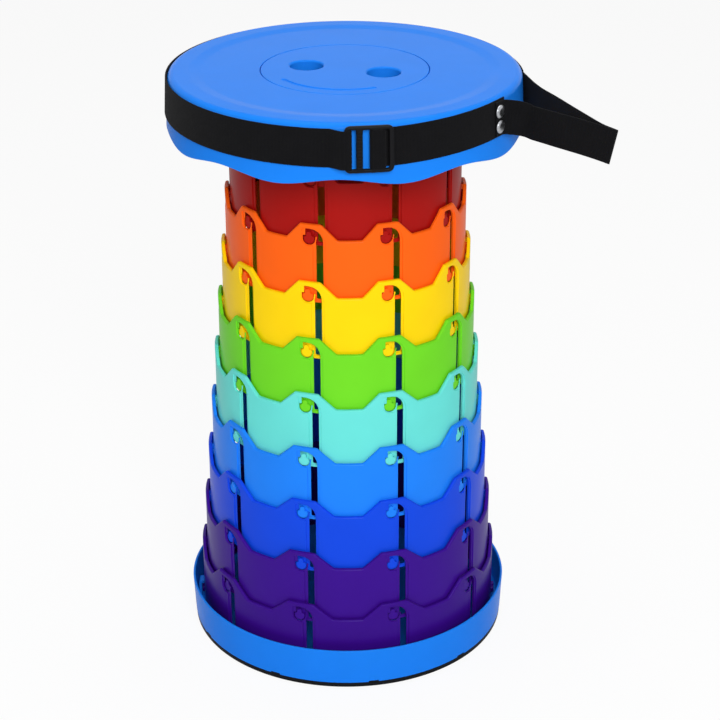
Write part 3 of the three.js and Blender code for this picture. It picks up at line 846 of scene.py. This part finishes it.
def lug():
    half, tip = LUG_WIDTH / 2, LUG_TIP_WIDTH / 2
    outline = rounded([
        (-half, LUG_FOOT, half - 0.1),
        (half, LUG_FOOT, half - 0.1),
        (half, LUG_SHOULDER, 1.7),
        (LUG_TIP_SHIFT + tip, LUG_SHOULDER, 0.5),
        (LUG_TIP_SHIFT + tip, LUG_TOP, 1.6),
        (LUG_TIP_SHIFT - tip, LUG_TOP, 1.6),
        (LUG_TIP_SHIFT - tip, LUG_SHOULDER, 0.5),
        (-half, LUG_SHOULDER, 1.7),
    ])
    return slab(outline, edge_rows(LUG_REACH, -RING_WALL / 2, 0.4, 0.1))


# %% Make the rings
def ring_parts(size, dip):
    """Ten periods and ten lugs, each with its place."""
    radius, bottom = size["radius"], size["bottom"]
    cell, boss = ring_period(radius, size["height"], dip), lug()
    parts = []
    for i in range(SLOTS):
        parts.append((cell, bent(radius, hump_centre(size) + i * PERIOD, bottom)))
        parts.append((boss, bent(radius, pocket_azimuth(size, LUG_SHIFT) + i * PERIOD, bottom)))
    return parts


for name, size in ring_sizes.items():
    assemble(f"{name}_ring", ring_parts(size, HUMP_HEIGHT), ring_plastic[name],
             f"ring_{name}", "base" if name == "purple" else f"ring_{name}_body")

# %% [markdown]
# The topmost tube is hidden under the seat. It has the rings' lugs but no windows, and four ears on its
# inside take the screws that hold it to the seat. Each screw has a low rounded head with a cross slot.

# %% Collar
low, high = corners_of("collar_red")
collar = {
    "radius": ring_sizes["red"]["radius"] - RING_PITCH,
    "bottom": low.z,
    "height": high.z - low.z,
    "slot_azimuth": ring_sizes["red"]["slot_azimuth"] + RING_TWIST,
}
SCREWS = 4
EAR_LENGTH = 12
EAR_WIDTH = 12
EAR_THICKNESS = 2.4
EAR_DROP = 9.7
SCREW_RADIUS = 1.75
SCREW_HEAD = 3.7
SCREW_HEAD_HEIGHT = 2.2
SCREW_LENGTH = 9.5
SCREW_HOLE_GAP = 0.35
EAR_ROOT = EAR_WIDTH / 2 + 0.8
screw_circle = collar["radius"] - RING_WALL - EAR_LENGTH / 2
ear_top = collar["bottom"] + collar["height"] - EAR_DROP
screw_seat = ear_top - EAR_THICKNESS - 0.3

ear_outline = rounded([(-EAR_WIDTH / 2, -EAR_WIDTH / 2, 4), (EAR_ROOT, -EAR_WIDTH / 2, 0),
                       (EAR_ROOT, EAR_WIDTH / 2, 0), (-EAR_WIDTH / 2, EAR_WIDTH / 2, 4)])
ear_hole = circle_track(0, 0, SCREW_RADIUS + SCREW_HOLE_GAP, 24, hole=True)
ear = slab(ear_outline, edge_rows(0, -EAR_THICKNESS, 0.4, 0.4), [ear_hole])
ears = [(ear, standing(i * 360 / SCREWS, screw_circle, ear_top)) for i in range(SCREWS)]
assemble("collar", ring_parts(collar, 0) + ears, ring_plastic["red"], "collar_red", weld=False)

# %% Screws
CROSS_LENGTH = 1.7
CROSS_WIDTH = 0.45
screw_data = turned([
    (0, -SCREW_HEAD_HEIGHT, 0), (SCREW_HEAD * 0.62, -SCREW_HEAD_HEIGHT, 2.2), (SCREW_HEAD, -0.9, 1.2),
    (SCREW_HEAD, 0, 0.2), (SCREW_RADIUS, 0, 0.2), (SCREW_RADIUS, SCREW_LENGTH, 0.3),
    (0, SCREW_LENGTH + SCREW_RADIUS, 0),
])


def painted_cross_shade():
    """Painted shade for the cross slot in a screw's head: a thin black inlay under its face, with no recess
    cut. One arm, turned three times.
    """
    arm, half = CROSS_LENGTH, CROSS_WIDTH
    corners = [(-half, -arm, 0.15), (half, -arm, 0.15), (half, -half, 0.1)]
    for _ in range(3):
        corners += [(-y, x, corner_round) for x, y, corner_round in corners[-3:]]
    return slab(rounded(corners), edge_rows(0.5, -0.04, 0.02, 0.02))


for i in range(SCREWS):
    azimuth = i * 360 / SCREWS
    assemble(f"screw_{i + 1}", [(screw_data, standing(azimuth, screw_circle, screw_seat))],
             steel, f"collar_screw_{i + 1}")
    # Each screw's cross slot is painted shade: a black inlay in place of a recess cut into the head.
    assemble(f"screw_slot_shade_{i + 1}",
             [(painted_cross_shade(), standing(azimuth, screw_circle, screw_seat - SCREW_HEAD_HEIGHT))],
             black_plastic, None, weld=False)

# %% [markdown]
# ## Tray and seat
# Tray and seat are round mouldings, so each is a profile turned about the axis. A turned surface keeps its
# true directions too. The shift makes the notches for the bottom plate's snap tabs at the foot of the
# tray's wall, and the soft wave with nine lobes at the skirt's lower edge.


# %% Base tray
tray_high = corners_of("base_tray")[1]
TRAY_FLARE = 1.4
TRAY_TOP_RADIUS = tray_high.x
TRAY_RADIUS = TRAY_TOP_RADIUS - TRAY_FLARE
TRAY_TOP = tray_high.z
TRAY_WALL = 1.8
TRAY_UNDERSIDE = 4.5
TRAY_FLOOR_TOP = 6.9
TRAY_FOOT_WIDTH = 5.5
PLATE = 3.6
TRAY_GAP = 0.3
TABS = 10
TAB_AZIMUTH = 9
TAB_WIDTH = 7
TAB_RISE = 1
TAB_THICKNESS = 1.5
NOTCH_GAP = 0.35
NOTCH_HALF = (TAB_WIDTH / 2 + NOTCH_GAP) / TRAY_RADIUS / DEGREE
NOTCH_RAMP = 0.06
HOOKS = 5
HOOK_WALL = 2.2
HOOK_WIDTH = 9


def notch_edges():
    """Extra azimuths on both sides of each notch's ends, so that the ends are steep."""
    edges = []
    for i in range(TABS):
        middle = TAB_AZIMUTH + i * 360 / TABS
        for side in (-1, 1):
            edges += [middle + side * (NOTCH_HALF - NOTCH_RAMP), middle + side * (NOTCH_HALF + NOTCH_RAMP)]
    return edges


def notch_lift(azimuth, point):
    """Lifts the foot of the wall over each snap tab."""
    from_tab = min(abs((azimuth - TAB_AZIMUTH - i * 360 / TABS + 180) % 360 - 180) for i in range(TABS))
    return TAB_RISE if from_tab < NOTCH_HALF and point.y < PLATE + 1 else 0


def tray_parts():
    wall_bottom = PLATE + TRAY_GAP
    floor_share = (TRAY_FLOOR_TOP - wall_bottom) / (TRAY_TOP - wall_bottom)
    profile = [
        (0, TRAY_UNDERSIDE, 0),
        (TRAY_RADIUS - TRAY_FOOT_WIDTH, TRAY_UNDERSIDE, 0.3),
        (TRAY_RADIUS - TRAY_FOOT_WIDTH, wall_bottom, 0.3),
        (TRAY_RADIUS, wall_bottom, 0.5),
        (TRAY_TOP_RADIUS, TRAY_TOP, 0.8),
        (TRAY_TOP_RADIUS - TRAY_WALL, TRAY_TOP, 0.8),
        (TRAY_RADIUS + TRAY_FLARE * floor_share - TRAY_WALL, TRAY_FLOOR_TOP, 2.5),
        (0, TRAY_FLOOR_TOP, 0),
    ]
    pan = rim(profile, even_stations(240, notch_edges()), notch_lift, closed=False)
    size = ring_sizes["purple"]
    post = size["radius"] + RING_PITCH - GROOVE_DEPTH - 0.1
    nose = size["radius"] + TRAY_GAP
    lip = size["bottom"] + LUG_TOP + TRAY_GAP
    outline = rounded([
        (post, TRAY_FLOOR_TOP - 1, 0), (post + HOOK_WALL, TRAY_FLOOR_TOP - 1, 0),
        (post + HOOK_WALL, lip + HOOK_WALL, 1.2), (nose, lip + HOOK_WALL, 0.5),
        (nose, lip, 0.4), (post, lip, 0.4)])
    hook = slab(outline, edge_rows(HOOK_WIDTH / 2, -HOOK_WIDTH / 2, 0.4, 0.4))
    hooks = [(hook, profiled(pocket_azimuth(size) + i * 360 / HOOKS)) for i in range(HOOKS)]
    return [(pan, lying(0)), *hooks]


assemble("tray", tray_parts(), seat_plastic, "base_tray", "base")


# %% Bottom plate
def plate_parts():
    outer = TRAY_RADIUS - TRAY_GAP
    profile = [(0, 0, 0), (outer, 0, 0.7), (outer, PLATE, 0.4), (0, PLATE, 0)]
    half, top = TAB_WIDTH / 2, PLATE + TAB_RISE
    outline = rounded([(-half, PLATE - 1, 0), (half, PLATE - 1, 0), (half, top, 0.4), (-half, top, 0.4)])
    tab = slab(outline, edge_rows(0, -TAB_THICKNESS, 0.3, 0.3), slices=[half * k / 3 for k in range(-2, 3)])
    tabs = [(tab, bent(outer, TAB_AZIMUTH + i * 360 / TABS, 0)) for i in range(TABS)]
    return [(rim(profile, even_stations(180), closed=False), lying(0)), *tabs]


assemble("plate", plate_parts(), black_plastic, "bottom_plate", "base")

# %% [markdown]
# The seat is a shallow upside-down pan. Its flat rim is a little higher than the middle, which ends at a
# round recess for the cap. Under the recess lies a ledge that the cap's clips catch, and four tubes for the
# screws of the collar.

# %% Seat shell
seat_high = corners_of("seat_shell")[1]
SKIRT_FLARE = 2
SEAT_RADIUS = seat_high.x
SEAT_TOP = seat_high.z
SEAT_ROUND = 5
SEAT_UNDERSIDE = SEAT_TOP - 2.8
SKIRT_WALL = 2.2
SKIRT_BOTTOM = SEAT_TOP - 41
BASIN_RADIUS = 103.5
BASIN_SLOPE = 8
BASIN_SOFTNESS = 30
BASIN_TOP = SEAT_TOP - 0.8
CAP_RADIUS = 60.4
CAP_THICKNESS = 2.2
CAP_LEDGE = 6.5
CAP_COLLAR = 2.6
CAP_COLLAR_DEPTH = 5.2
CAP_GAP = 0.5
LOBES = 9
LOBE_DEPTH = 2.5
LOBE_AZIMUTH = 18.5
WAVE_TOP = SEAT_TOP - 20
WAVE_INSIDE = 110
BOSS_RADIUS = 4


def flare_at(height):
    """How far the skirt stands out at a height below the rounded rim."""
    return SKIRT_FLARE * max(SEAT_TOP - SEAT_ROUND - height, 0) / (SEAT_TOP - SEAT_ROUND - SKIRT_BOTTOM)


def flared(point, normal):
    """Carries a point outward with the skirt."""
    radius = point.to_2d().length
    return point + Vector((point.x, point.y, 0)) * flare_at(point.z) / radius, normal


def skirt_wave(azimuth, point):
    """Moves the lower part of the skirt up and down in a wave."""
    if point.y > WAVE_TOP or point.x < WAVE_INSIDE:
        return 0
    return -LOBE_DEPTH * math.cos(LOBES * (azimuth - LOBE_AZIMUTH) * DEGREE)


def seat_parts():
    recess = CAP_RADIUS + CAP_GAP
    ledge_top = BASIN_TOP - CAP_THICKNESS - 0.3
    collar_under = BASIN_TOP - CAP_COLLAR_DEPTH
    inner = SEAT_RADIUS - SKIRT_WALL
    profile = [
        (SEAT_RADIUS + SKIRT_FLARE, SKIRT_BOTTOM, 1.0),
        (SEAT_RADIUS, SEAT_TOP - SEAT_ROUND, 0),
        (SEAT_RADIUS, SEAT_TOP, SEAT_ROUND),
        (BASIN_RADIUS + BASIN_SLOPE, SEAT_TOP, BASIN_SOFTNESS),
        (BASIN_RADIUS, BASIN_TOP, BASIN_SOFTNESS),
        (recess, BASIN_TOP, 0.45),
        (recess, ledge_top, 0.2),
        (CAP_RADIUS - CAP_LEDGE, ledge_top, 0.3),
        (CAP_RADIUS - CAP_LEDGE, collar_under, 0.3),
        (recess + CAP_COLLAR, collar_under, 0.5),
        (recess + CAP_COLLAR, SEAT_UNDERSIDE, 0.6),
        (inner, SEAT_UNDERSIDE, 2.2),
        (inner, SEAT_TOP - SEAT_ROUND, 0),
        (inner + SKIRT_FLARE, SKIRT_BOTTOM, 0.9),
    ]
    boss_top = SEAT_UNDERSIDE + 0.5
    boss = bored_disc(BOSS_RADIUS, SCREW_RADIUS + SCREW_HOLE_GAP, boss_top - ear_top - 0.3, 0.4, 32)
    bosses = [(boss, standing(i * 360 / SCREWS, screw_circle, boss_top)) for i in range(SCREWS)]
    return [(rim(profile, even_stations(288), skirt_wave), lying(0)), *bosses]


assemble("seat", seat_parts(), seat_plastic, "seat_shell")

# %% [markdown]
# The cap closes the middle of the seat. Two finger holes with short tubes make it easy to lift, and a curved
# groove runs along its front. Four barbed clips under it catch the seat's ledge.

# %% Cap
FINGER_RADIUS = 12
FINGER_SPACING = 58
FINGER_ANGLE = -17.7
TUBE_WALL = 1.6
TUBE_DEPTH = 9
GROOVE_RADIUS = 50
GROOVE_WIDTH = 3
ARC_GROOVE_DEPTH = 0.8
GROOVE_HALF_ANGLE = 42
CLIPS = 4
CLIP_WIDTH = 12
CLIP_WALL = 1.8
CLIP_BARB = 2.4
CLIP_SETBACK = 0.5
CLIP_GAP = 0.3
CLIP_ROOT = 0.5


def arc_groove():
    """Outline of the curved groove with round ends, walked clockwise because it is a recess."""
    middle = FINGER_ANGLE - 90
    half_width = GROOVE_WIDTH / 2
    track = []

    def arc(x, y, radius, start, end, steps, side):
        for k in range(steps + 1):
            angle = (start + (end - start) * k / steps) * DEGREE
            away = Vector((math.cos(angle), math.sin(angle)))
            track.append((Vector((x, y)) + away * radius, away * side))

    low_angle, high_angle = middle - GROOVE_HALF_ANGLE, middle + GROOVE_HALF_ANGLE
    arc(0, 0, GROOVE_RADIUS + half_width, high_angle, low_angle, 40, -1)
    ends = [(angle, Vector((math.cos(angle * DEGREE), math.sin(angle * DEGREE))) * GROOVE_RADIUS)
            for angle in (low_angle, high_angle)]
    arc(ends[0][1].x, ends[0][1].y, half_width, low_angle, low_angle - 180, 8, -1)
    arc(0, 0, GROOVE_RADIUS - half_width, low_angle, high_angle, 40, 1)
    arc(ends[1][1].x, ends[1][1].y, half_width, high_angle + 180, high_angle, 8, -1)
    return track


def cap_parts():
    cap = Moulding()
    disc_front, disc_back = cap.skin(circle_track(0, 0, CAP_RADIUS, 144),
                                     edge_rows(0, -CAP_THICKNESS, 0.7, 0.3))
    front_holes, tube_feet = [], []
    for side in (-1, 1):
        x = side * FINGER_SPACING / 2 * math.cos(FINGER_ANGLE * DEGREE)
        y = side * FINGER_SPACING / 2 * math.sin(FINGER_ANGLE * DEGREE)
        bore_front, bore_back = cap.skin(circle_track(x, y, FINGER_RADIUS, 64, hole=True),
                                         edge_rows(0, -TUBE_DEPTH, 1.5, 0.4))
        tube_top, tube_bottom = cap.skin(circle_track(x, y, FINGER_RADIUS + TUBE_WALL, 64),
                                         edge_rows(-CAP_THICKNESS, -TUBE_DEPTH, 0, 0.4))
        front_holes.append(bore_front)
        cap.fill(tube_bottom, [bore_back], facing=-1)
        tube_feet.append(tube_top)
    groove_front, groove_floor = cap.skin(arc_groove(), step_rows(0, -ARC_GROOVE_DEPTH, 0.4, 0.5))
    cap.fill(groove_floor)
    cap.fill(disc_front, [*front_holes, groove_front])
    cap.fill(disc_back, tube_feet, facing=-1)
    ledge = CAP_RADIUS - CAP_LEDGE - CLIP_SETBACK
    catch = BASIN_TOP - CAP_COLLAR_DEPTH - CLIP_GAP
    foot = BASIN_TOP - CAP_THICKNESS + CLIP_ROOT
    low = catch - CLIP_BARB
    outline = rounded([
        (ledge - CLIP_WALL, foot, 0), (ledge - CLIP_WALL, low, 0.4), (ledge, low, 0.5),
        (ledge + CLIP_BARB, catch, 0.3), (ledge, catch, 0.1), (ledge, foot, 0)])
    clip = slab(outline, edge_rows(CLIP_WIDTH / 2, -CLIP_WIDTH / 2, 0.3, 0.3))
    clips = [(clip, profiled(FINGER_ANGLE + 45 + i * 360 / CLIPS)) for i in range(CLIPS)]
    return [(cap.data(), lying(BASIN_TOP)), *clips]


assemble("cap", cap_parts(), seat_plastic, "centre_cap", weld=False)

# %% [markdown]
# ## Webbing, buckle and rivets
# A strap is a flat section swept along a path. Its width stands upright, so the path is drawn in plan, with
# a height for each point. Webbing bends easily over its face and hardly at all in its own plane, so the
# section follows the path's slope, and near the loop's tip its upper edge runs further out than its lower.

# %% Straps
STRAP_WIDTH = 26.4
STRAP_THICKNESS = 1.2
STRAP_MIDDLE = SEAT_TOP - 16.3
STRAP_GAP = 0.3
STRAP_RADIUS = SEAT_RADIUS + STRAP_GAP + STRAP_THICKNESS / 2
BUCKLE_AZIMUTH = 6.9
BUCKLE_INNER = SEAT_RADIUS + STRAP_THICKNESS + 3 * STRAP_GAP
BUCKLE_THICKNESS = 2.6
BUCKLE_WIDTH = 33.2
BUCKLE_HEIGHT = 32
BUCKLE_RAIL = 2.5
BUCKLE_CORNER = 4
BUCKLE_SHARES = [-0.79, -0.52, -0.26, 0.115, 0.58, 0.8]
buckle_edges = [share * BUCKLE_WIDTH / 2 for share in BUCKLE_SHARES]
BESIDE_BAR = STRAP_GAP + STRAP_THICKNESS / 2
BEHIND = BUCKLE_INNER - BESIDE_BAR
BEFORE = BUCKLE_INNER + BUCKLE_THICKNESS + BESIDE_BAR
RIVET_AZIMUTH = 54
RIVET_RISE = 2.5
LOOP_LEAVE = 92
LEAVE_GAP = 0.2
LOOP_END_MARGIN = 1.7
LOOP_ROOT_RISE = -1.04
BACK_AZIMUTH = 220
CLIMB_START = BUCKLE_AZIMUTH + BUCKLE_WIDTH / 2 / SEAT_RADIUS / DEGREE


def on_rim(start, end, radius=STRAP_RADIUS, step=2.5):
    """Plan points along the seat's rim."""
    count = max(1, math.ceil(abs(end - start) / step))
    return [outward(start + (end - start) * k / count) * radius for k in range(count + 1)]


def at_buckle(side, out):
    return outward(BUCKLE_AZIMUTH) * out + sideways(BUCKLE_AZIMUTH) * side


def softened(points, radii):
    """Plan points with each corner rounded, as a strap turns."""
    corners = [(point.x, point.y, radius) for point, radius in zip(points, radii)]
    return [Vector((*point, 0)) for point, normal in rounded(corners, closed=False)]


def smooth_path(points, rounds=2):
    """Rounds a path by cutting its corners, with its two ends kept."""
    for _ in range(rounds):
        cut = [points[0]]
        for first, second in zip(points, points[1:]):
            cut += [first.lerp(second, 0.25), first.lerp(second, 0.75)]
        points = [*cut, points[-1]]
    return points


def evenly(points, step):
    """The same path with points a step apart."""
    spaced = [points[0]]
    travelled, due = 0.0, step
    for first, second in zip(points, points[1:]):
        length = (second - first).length
        while length > 0 and travelled + length >= due:
            spaced.append(first.lerp(second, (due - travelled) / length))
            due += step
        travelled += length
    if (spaced[-1] - points[-1]).length > step / 4:
        spaced.append(points[-1])
    return spaced


def upright(_):
    return Vector()


def sweep(path, width=STRAP_WIDTH, tilt=upright, edge_round=0.5):
    """A strap along 3-D middle points, with its upper edge shifted by tilt.

    Gives points, directions, faces and the map of the weave.
    """
    half, thick = width / 2, STRAP_THICKNESS / 2
    section = rounded(rectangle(-half, -thick, half, thick, edge_round))
    points, normals, faces, weave = [], [], [], []
    travelled = 0.0
    for i, middle in enumerate(path):
        before, after = path[max(i - 1, 0)], path[min(i + 1, len(path) - 1)]
        along = (after - before).normalized()
        travelled += (middle - before).length
        across = (UP + tilt(middle) - along * along.z).normalized()
        out = along.cross(across).normalized()
        for point, normal in section:
            points.append(middle + across * point.x + out * point.y)
            normals.append(across * normal.x + out * normal.y)
            weave.append((travelled * MM, point.x * MM))
    count = len(section)
    for i in range(len(path) - 1):
        here, after = i * count, (i + 1) * count
        for j in range(count):
            following = (j + 1) % count
            faces.append([here + j, here + following, after + following, after + j])
    for start, order in ((0, -1), ((len(path) - 1) * count, 1)):
        base = len(points)
        direction = (path[1] - path[0]) * -1 if start == 0 else path[-1] - path[-2]
        for j in range(count):
            points.append(points[start + j].copy())
            normals.append(direction.normalized())
            weave.append(weave[start + j])
        faces.append([base + j for j in range(count)][::order])
    return points, normals, faces, weave


def make_strap(name, path, node, width=STRAP_WIDTH, tilt=upright):
    points, normals, faces, weave = sweep(path, width, tilt)
    obj = assemble(name, [((points, normals, faces), flared)], webbing, node, weld=False)
    weave_map = obj.data.uv_layers.new(name="weave")
    for loop in obj.data.loops:
        weave_map.data[loop.index].uv = weave[loop.vertex_index]


def rise_at(point):
    """It climbs to the rivets, starts low behind the loop, rises to the back and sinks to the front."""
    azimuth = math.atan2(point.x, -point.y) / DEGREE % 360
    if azimuth < LOOP_LEAVE:
        climb = (azimuth - CLIMB_START) / (RIVET_AZIMUTH - LOOP_END_MARGIN - CLIMB_START)
        return RIVET_RISE * max(min(climb, 1), 0)
    descent = RIVET_RISE * (360 - max(azimuth, BACK_AZIMUTH)) / (360 - LOOP_LEAVE)
    behind = min((azimuth - LOOP_LEAVE) / (BACK_AZIMUTH - LOOP_LEAVE), 1)
    return LOOP_ROOT_RISE + (descent - LOOP_ROOT_RISE) * behind


def lifted(points):
    """Plan points as middle points of the strap."""
    return [Vector((point.x, point.y, STRAP_MIDDLE + rise_at(point))) for point in points]


# %% Long strap: round the left bar, then behind the seat to the loop's return
WRAP_MARGIN = 1.2
WRAP_RUN = 9
WRAP_SINK = 1.9
WRAP_END = 11.6
bar_inner, bar_outer = buckle_edges[0], -BUCKLE_WIDTH / 2
wrap = softened(
    [at_buckle(bar_outer + WRAP_MARGIN, BEHIND), at_buckle(bar_inner + BESIDE_BAR, BEHIND),
     at_buckle(bar_inner + BESIDE_BAR, BEFORE), at_buckle(bar_outer - WRAP_MARGIN, BEFORE),
     at_buckle(bar_outer - WRAP_RUN, STRAP_RADIUS - WRAP_SINK)],
    [0, 0.9, 1.3, 5, 0])
long_path = wrap[:-1] + on_rim(BUCKLE_AZIMUTH - WRAP_END, LOOP_LEAVE - 360 + LEAVE_GAP)
make_strap("long_strap", lifted(long_path), "strap_long")

# %% Short strap: folded over the middle bar, under the right bar and on to the rivets
STRAP_END_MARGIN = 4
FOLD_MARGIN = 2.4
FOLD_SINK = 0.4
FOLD_END = 6
bar_left, bar_right = buckle_edges[3], buckle_edges[4]
fold = softened(
    [at_buckle(bar_right - FOLD_MARGIN, BEHIND), at_buckle(bar_left - BESIDE_BAR, BEHIND),
     at_buckle(bar_left - BESIDE_BAR, BEFORE), at_buckle(bar_right + BESIDE_BAR, BEFORE),
     at_buckle(bar_right + BESIDE_BAR, BEHIND - FOLD_SINK)],
    [0, 0.9, 1.6, 1.6, 0])
short_path = fold + on_rim(BUCKLE_AZIMUTH + FOLD_END, RIVET_AZIMUTH + STRAP_END_MARGIN)
make_strap("short_strap", lifted(short_path), "strap_short")

# %% [markdown]
# The loop is one band that leaves the rivets, runs out to a narrow tip and comes back behind the seat. A few
# points draw it in plan. One factor, fitted to the loop's edges in the photograph, sets how far out they
# reach, and the points are kept to a tenth of a millimetre.

# %% Carrying loop
TAB_OFFSET = STRAP_THICKNESS + STRAP_GAP
LOOP_WIDTH = 24.4
LOOP_FRONT_RISE = -1.78
LOOP_DROOP = 2.2
LOOP_TILT = 0.231
LOOP_REACH = 82.5
LOOP_STEP = 1.6
DROOP_POWER = 3.5
TILT_POWER = 1.5
RAMP_SHARE = 0.2
LOOP_SETBACK = 1.4
LOOP_CLEARANCE = 0.5
LOOP_ROOT_X = 123
LOOP_SHARE = 0.9194
loop_front = [(123, -67.9), (131.5, -75), (146.6, -88.8), (164, -102.6), (176.5, -112.6)]
loop_tip = [(181.8, -117), (183, -117.2), (182.2, -115.6)]
loop_back = [(173.8, -108.2), (166.8, -94.9), (156.9, -74.1), (147.1, -51.2), (136.7, -30)]
rooted = on_rim(RIVET_AZIMUTH - LOOP_END_MARGIN, RIVET_AZIMUTH + STRAP_END_MARGIN - LOOP_SETBACK,
                STRAP_RADIUS + TAB_OFFSET)
leave = outward(LOOP_LEAVE) * STRAP_RADIUS
free = [Vector((round(LOOP_ROOT_X + (x - LOOP_ROOT_X) * LOOP_SHARE, 1), y, 0))
        for x, y in loop_front + loop_tip + loop_back]
plan = evenly(smooth_path([*rooted, *free, leave]), LOOP_STEP)


def beyond_rim(point):
    """How far a point lies outside the belt, as a share of the loop's reach."""
    return min(max(0.0, point.to_2d().length - STRAP_RADIUS - TAB_OFFSET - LOOP_CLEARANCE) / LOOP_REACH, 1)


def loop_tilt(middle):
    """Towards its tip the band's upper edge runs further out than its lower edge."""
    return Vector((LOOP_TILT * beyond_rim(middle) ** TILT_POWER, 0, 0))


def loop_heights(points):
    """The band leaves the rivets, drops a little, droops only near its tip and comes back behind the seat."""
    shares = [beyond_rim(point) for point in points]
    tip = shares.index(max(shares))
    heights = []
    for i, share in enumerate(shares):
        if i < tip:
            rise = LOOP_FRONT_RISE + (RIVET_RISE - LOOP_FRONT_RISE) * max(0, 1 - share / RAMP_SHARE)
        else:
            rise = LOOP_ROOT_RISE + (LOOP_FRONT_RISE - LOOP_ROOT_RISE) * share
        heights.append(STRAP_MIDDLE + rise - LOOP_DROOP * share ** DROOP_POWER)
    return heights


loop_path = [Vector((point.x, point.y, height)) for point, height in zip(plan, loop_heights(plan))]
make_strap("loop", loop_path, "strap_loop", LOOP_WIDTH, loop_tilt)

# %% [markdown]
# The buckle is one black moulding with two rails and four upright bars. The bar in the open has a row of
# small ridges that keep the webbing from slipping, and the rails are a little crowned.

# %% Buckle
RIDGES = 12
RIDGE_HEIGHT = 0.45
BUCKLE_CROWN = 0.7
RIDGE_MARGIN = 0.5
RIDGE_SHARE = 0.3
RIDGE_EDGE = 0.35


def buckle_parts():
    half_width, half_height = BUCKLE_WIDTH / 2, BUCKLE_HEIGHT / 2
    opening = half_height - BUCKLE_RAIL
    body = Moulding()
    outline = rectangle(-half_width, -half_height, half_width, half_height, BUCKLE_CORNER)
    front, back = body.skin(rounded(outline), edge_rows(BUCKLE_THICKNESS, 0, 1.1, 0.7))
    walls = [body.skin(rounded(rectangle(left, -opening, right, opening, 0.9)[::-1]),
                       edge_rows(BUCKLE_THICKNESS, 0, 0.7, 0.5))
             for left, right in zip(buckle_edges[::2], buckle_edges[1::2])]
    body.fill(front, [first for first, last in walls])
    body.fill(back, [last for first, last in walls], facing=-1)
    body.slice_at([half_width * k / 6 for k in range(-5, 6)])
    place = facing(BUCKLE_AZIMUTH, BUCKLE_INNER, STRAP_MIDDLE)

    def crowned(point, normal):
        share = max(0.0, 1 - (point.x / half_width) ** 2)
        over = max(0.0, point.z / BUCKLE_THICKNESS)
        return flared(*place(Vector((point.x, point.y, point.z + BUCKLE_CROWN * share * over)), normal))

    parts = [(body.data(), crowned)]
    bar_left, bar_right = buckle_edges[1] + RIDGE_MARGIN, buckle_edges[2] - RIDGE_MARGIN
    pitch = 2 * opening / RIDGES
    ridge_rows = edge_rows(BUCKLE_THICKNESS + RIDGE_HEIGHT, BUCKLE_THICKNESS - 1, RIDGE_EDGE, 0)
    for k in range(RIDGES):
        middle = -opening + (k + 0.5) * pitch
        low, high = middle - pitch * RIDGE_SHARE, middle + pitch * RIDGE_SHARE
        corners = rectangle(bar_left, low, bar_right, high, 0.3)
        parts.append((slab(rounded(corners), ridge_rows), crowned))
    return parts


assemble("buckle", buckle_parts(), black_plastic, "strap_buckle", weld=False)

# %% Rivets and washers
RIVET_PITCH = 10.6
RIVET_RADIUS = 4.8
RIVET_HEIGHT = 2.2
RIVET_SHANK = 1.8
WASHER_THICKNESS = 1
WASHER_HALF_ANGLE = 5
rivet_base = STRAP_RADIUS + TAB_OFFSET + STRAP_THICKNESS / 2 + STRAP_GAP
washer_top = (SEAT_RADIUS - SKIRT_WALL) * math.cos(WASHER_HALF_ANGLE * DEGREE) - STRAP_GAP


def dome():
    """A domed head on a shank, along z, with its base at z = 0."""
    reach = rivet_base - washer_top + WASHER_THICKNESS + STRAP_GAP
    profile = [(0, -reach, 0), (RIVET_SHANK, -reach, 0.3), (RIVET_SHANK, 0, 0), (RIVET_RADIUS, 0, 0.25),
               (RIVET_RADIUS * 0.97, 0.75, 0.6), (RIVET_RADIUS * 0.66, 1.85, 3.2), (0, RIVET_HEIGHT, 0)]
    return turned(profile)


washer_data = bored_disc(RIVET_RADIUS, RIVET_SHANK + 0.2, WASHER_THICKNESS, 0.2, 40)
for number, side in ((1, 1), (2, -1)):
    height = STRAP_MIDDLE + RIVET_RISE + side * RIVET_PITCH / 2
    for name, data, radius, node in (("rivet", dome(), rivet_base, "strap_rivet"),
                                     ("washer", washer_data, washer_top, "rivet_washer")):
        place = facing(RIVET_AZIMUTH, radius + flare_at(height), height)
        assemble(f"{name}_{number}", [(data, place)], steel, f"{node}_{number}")
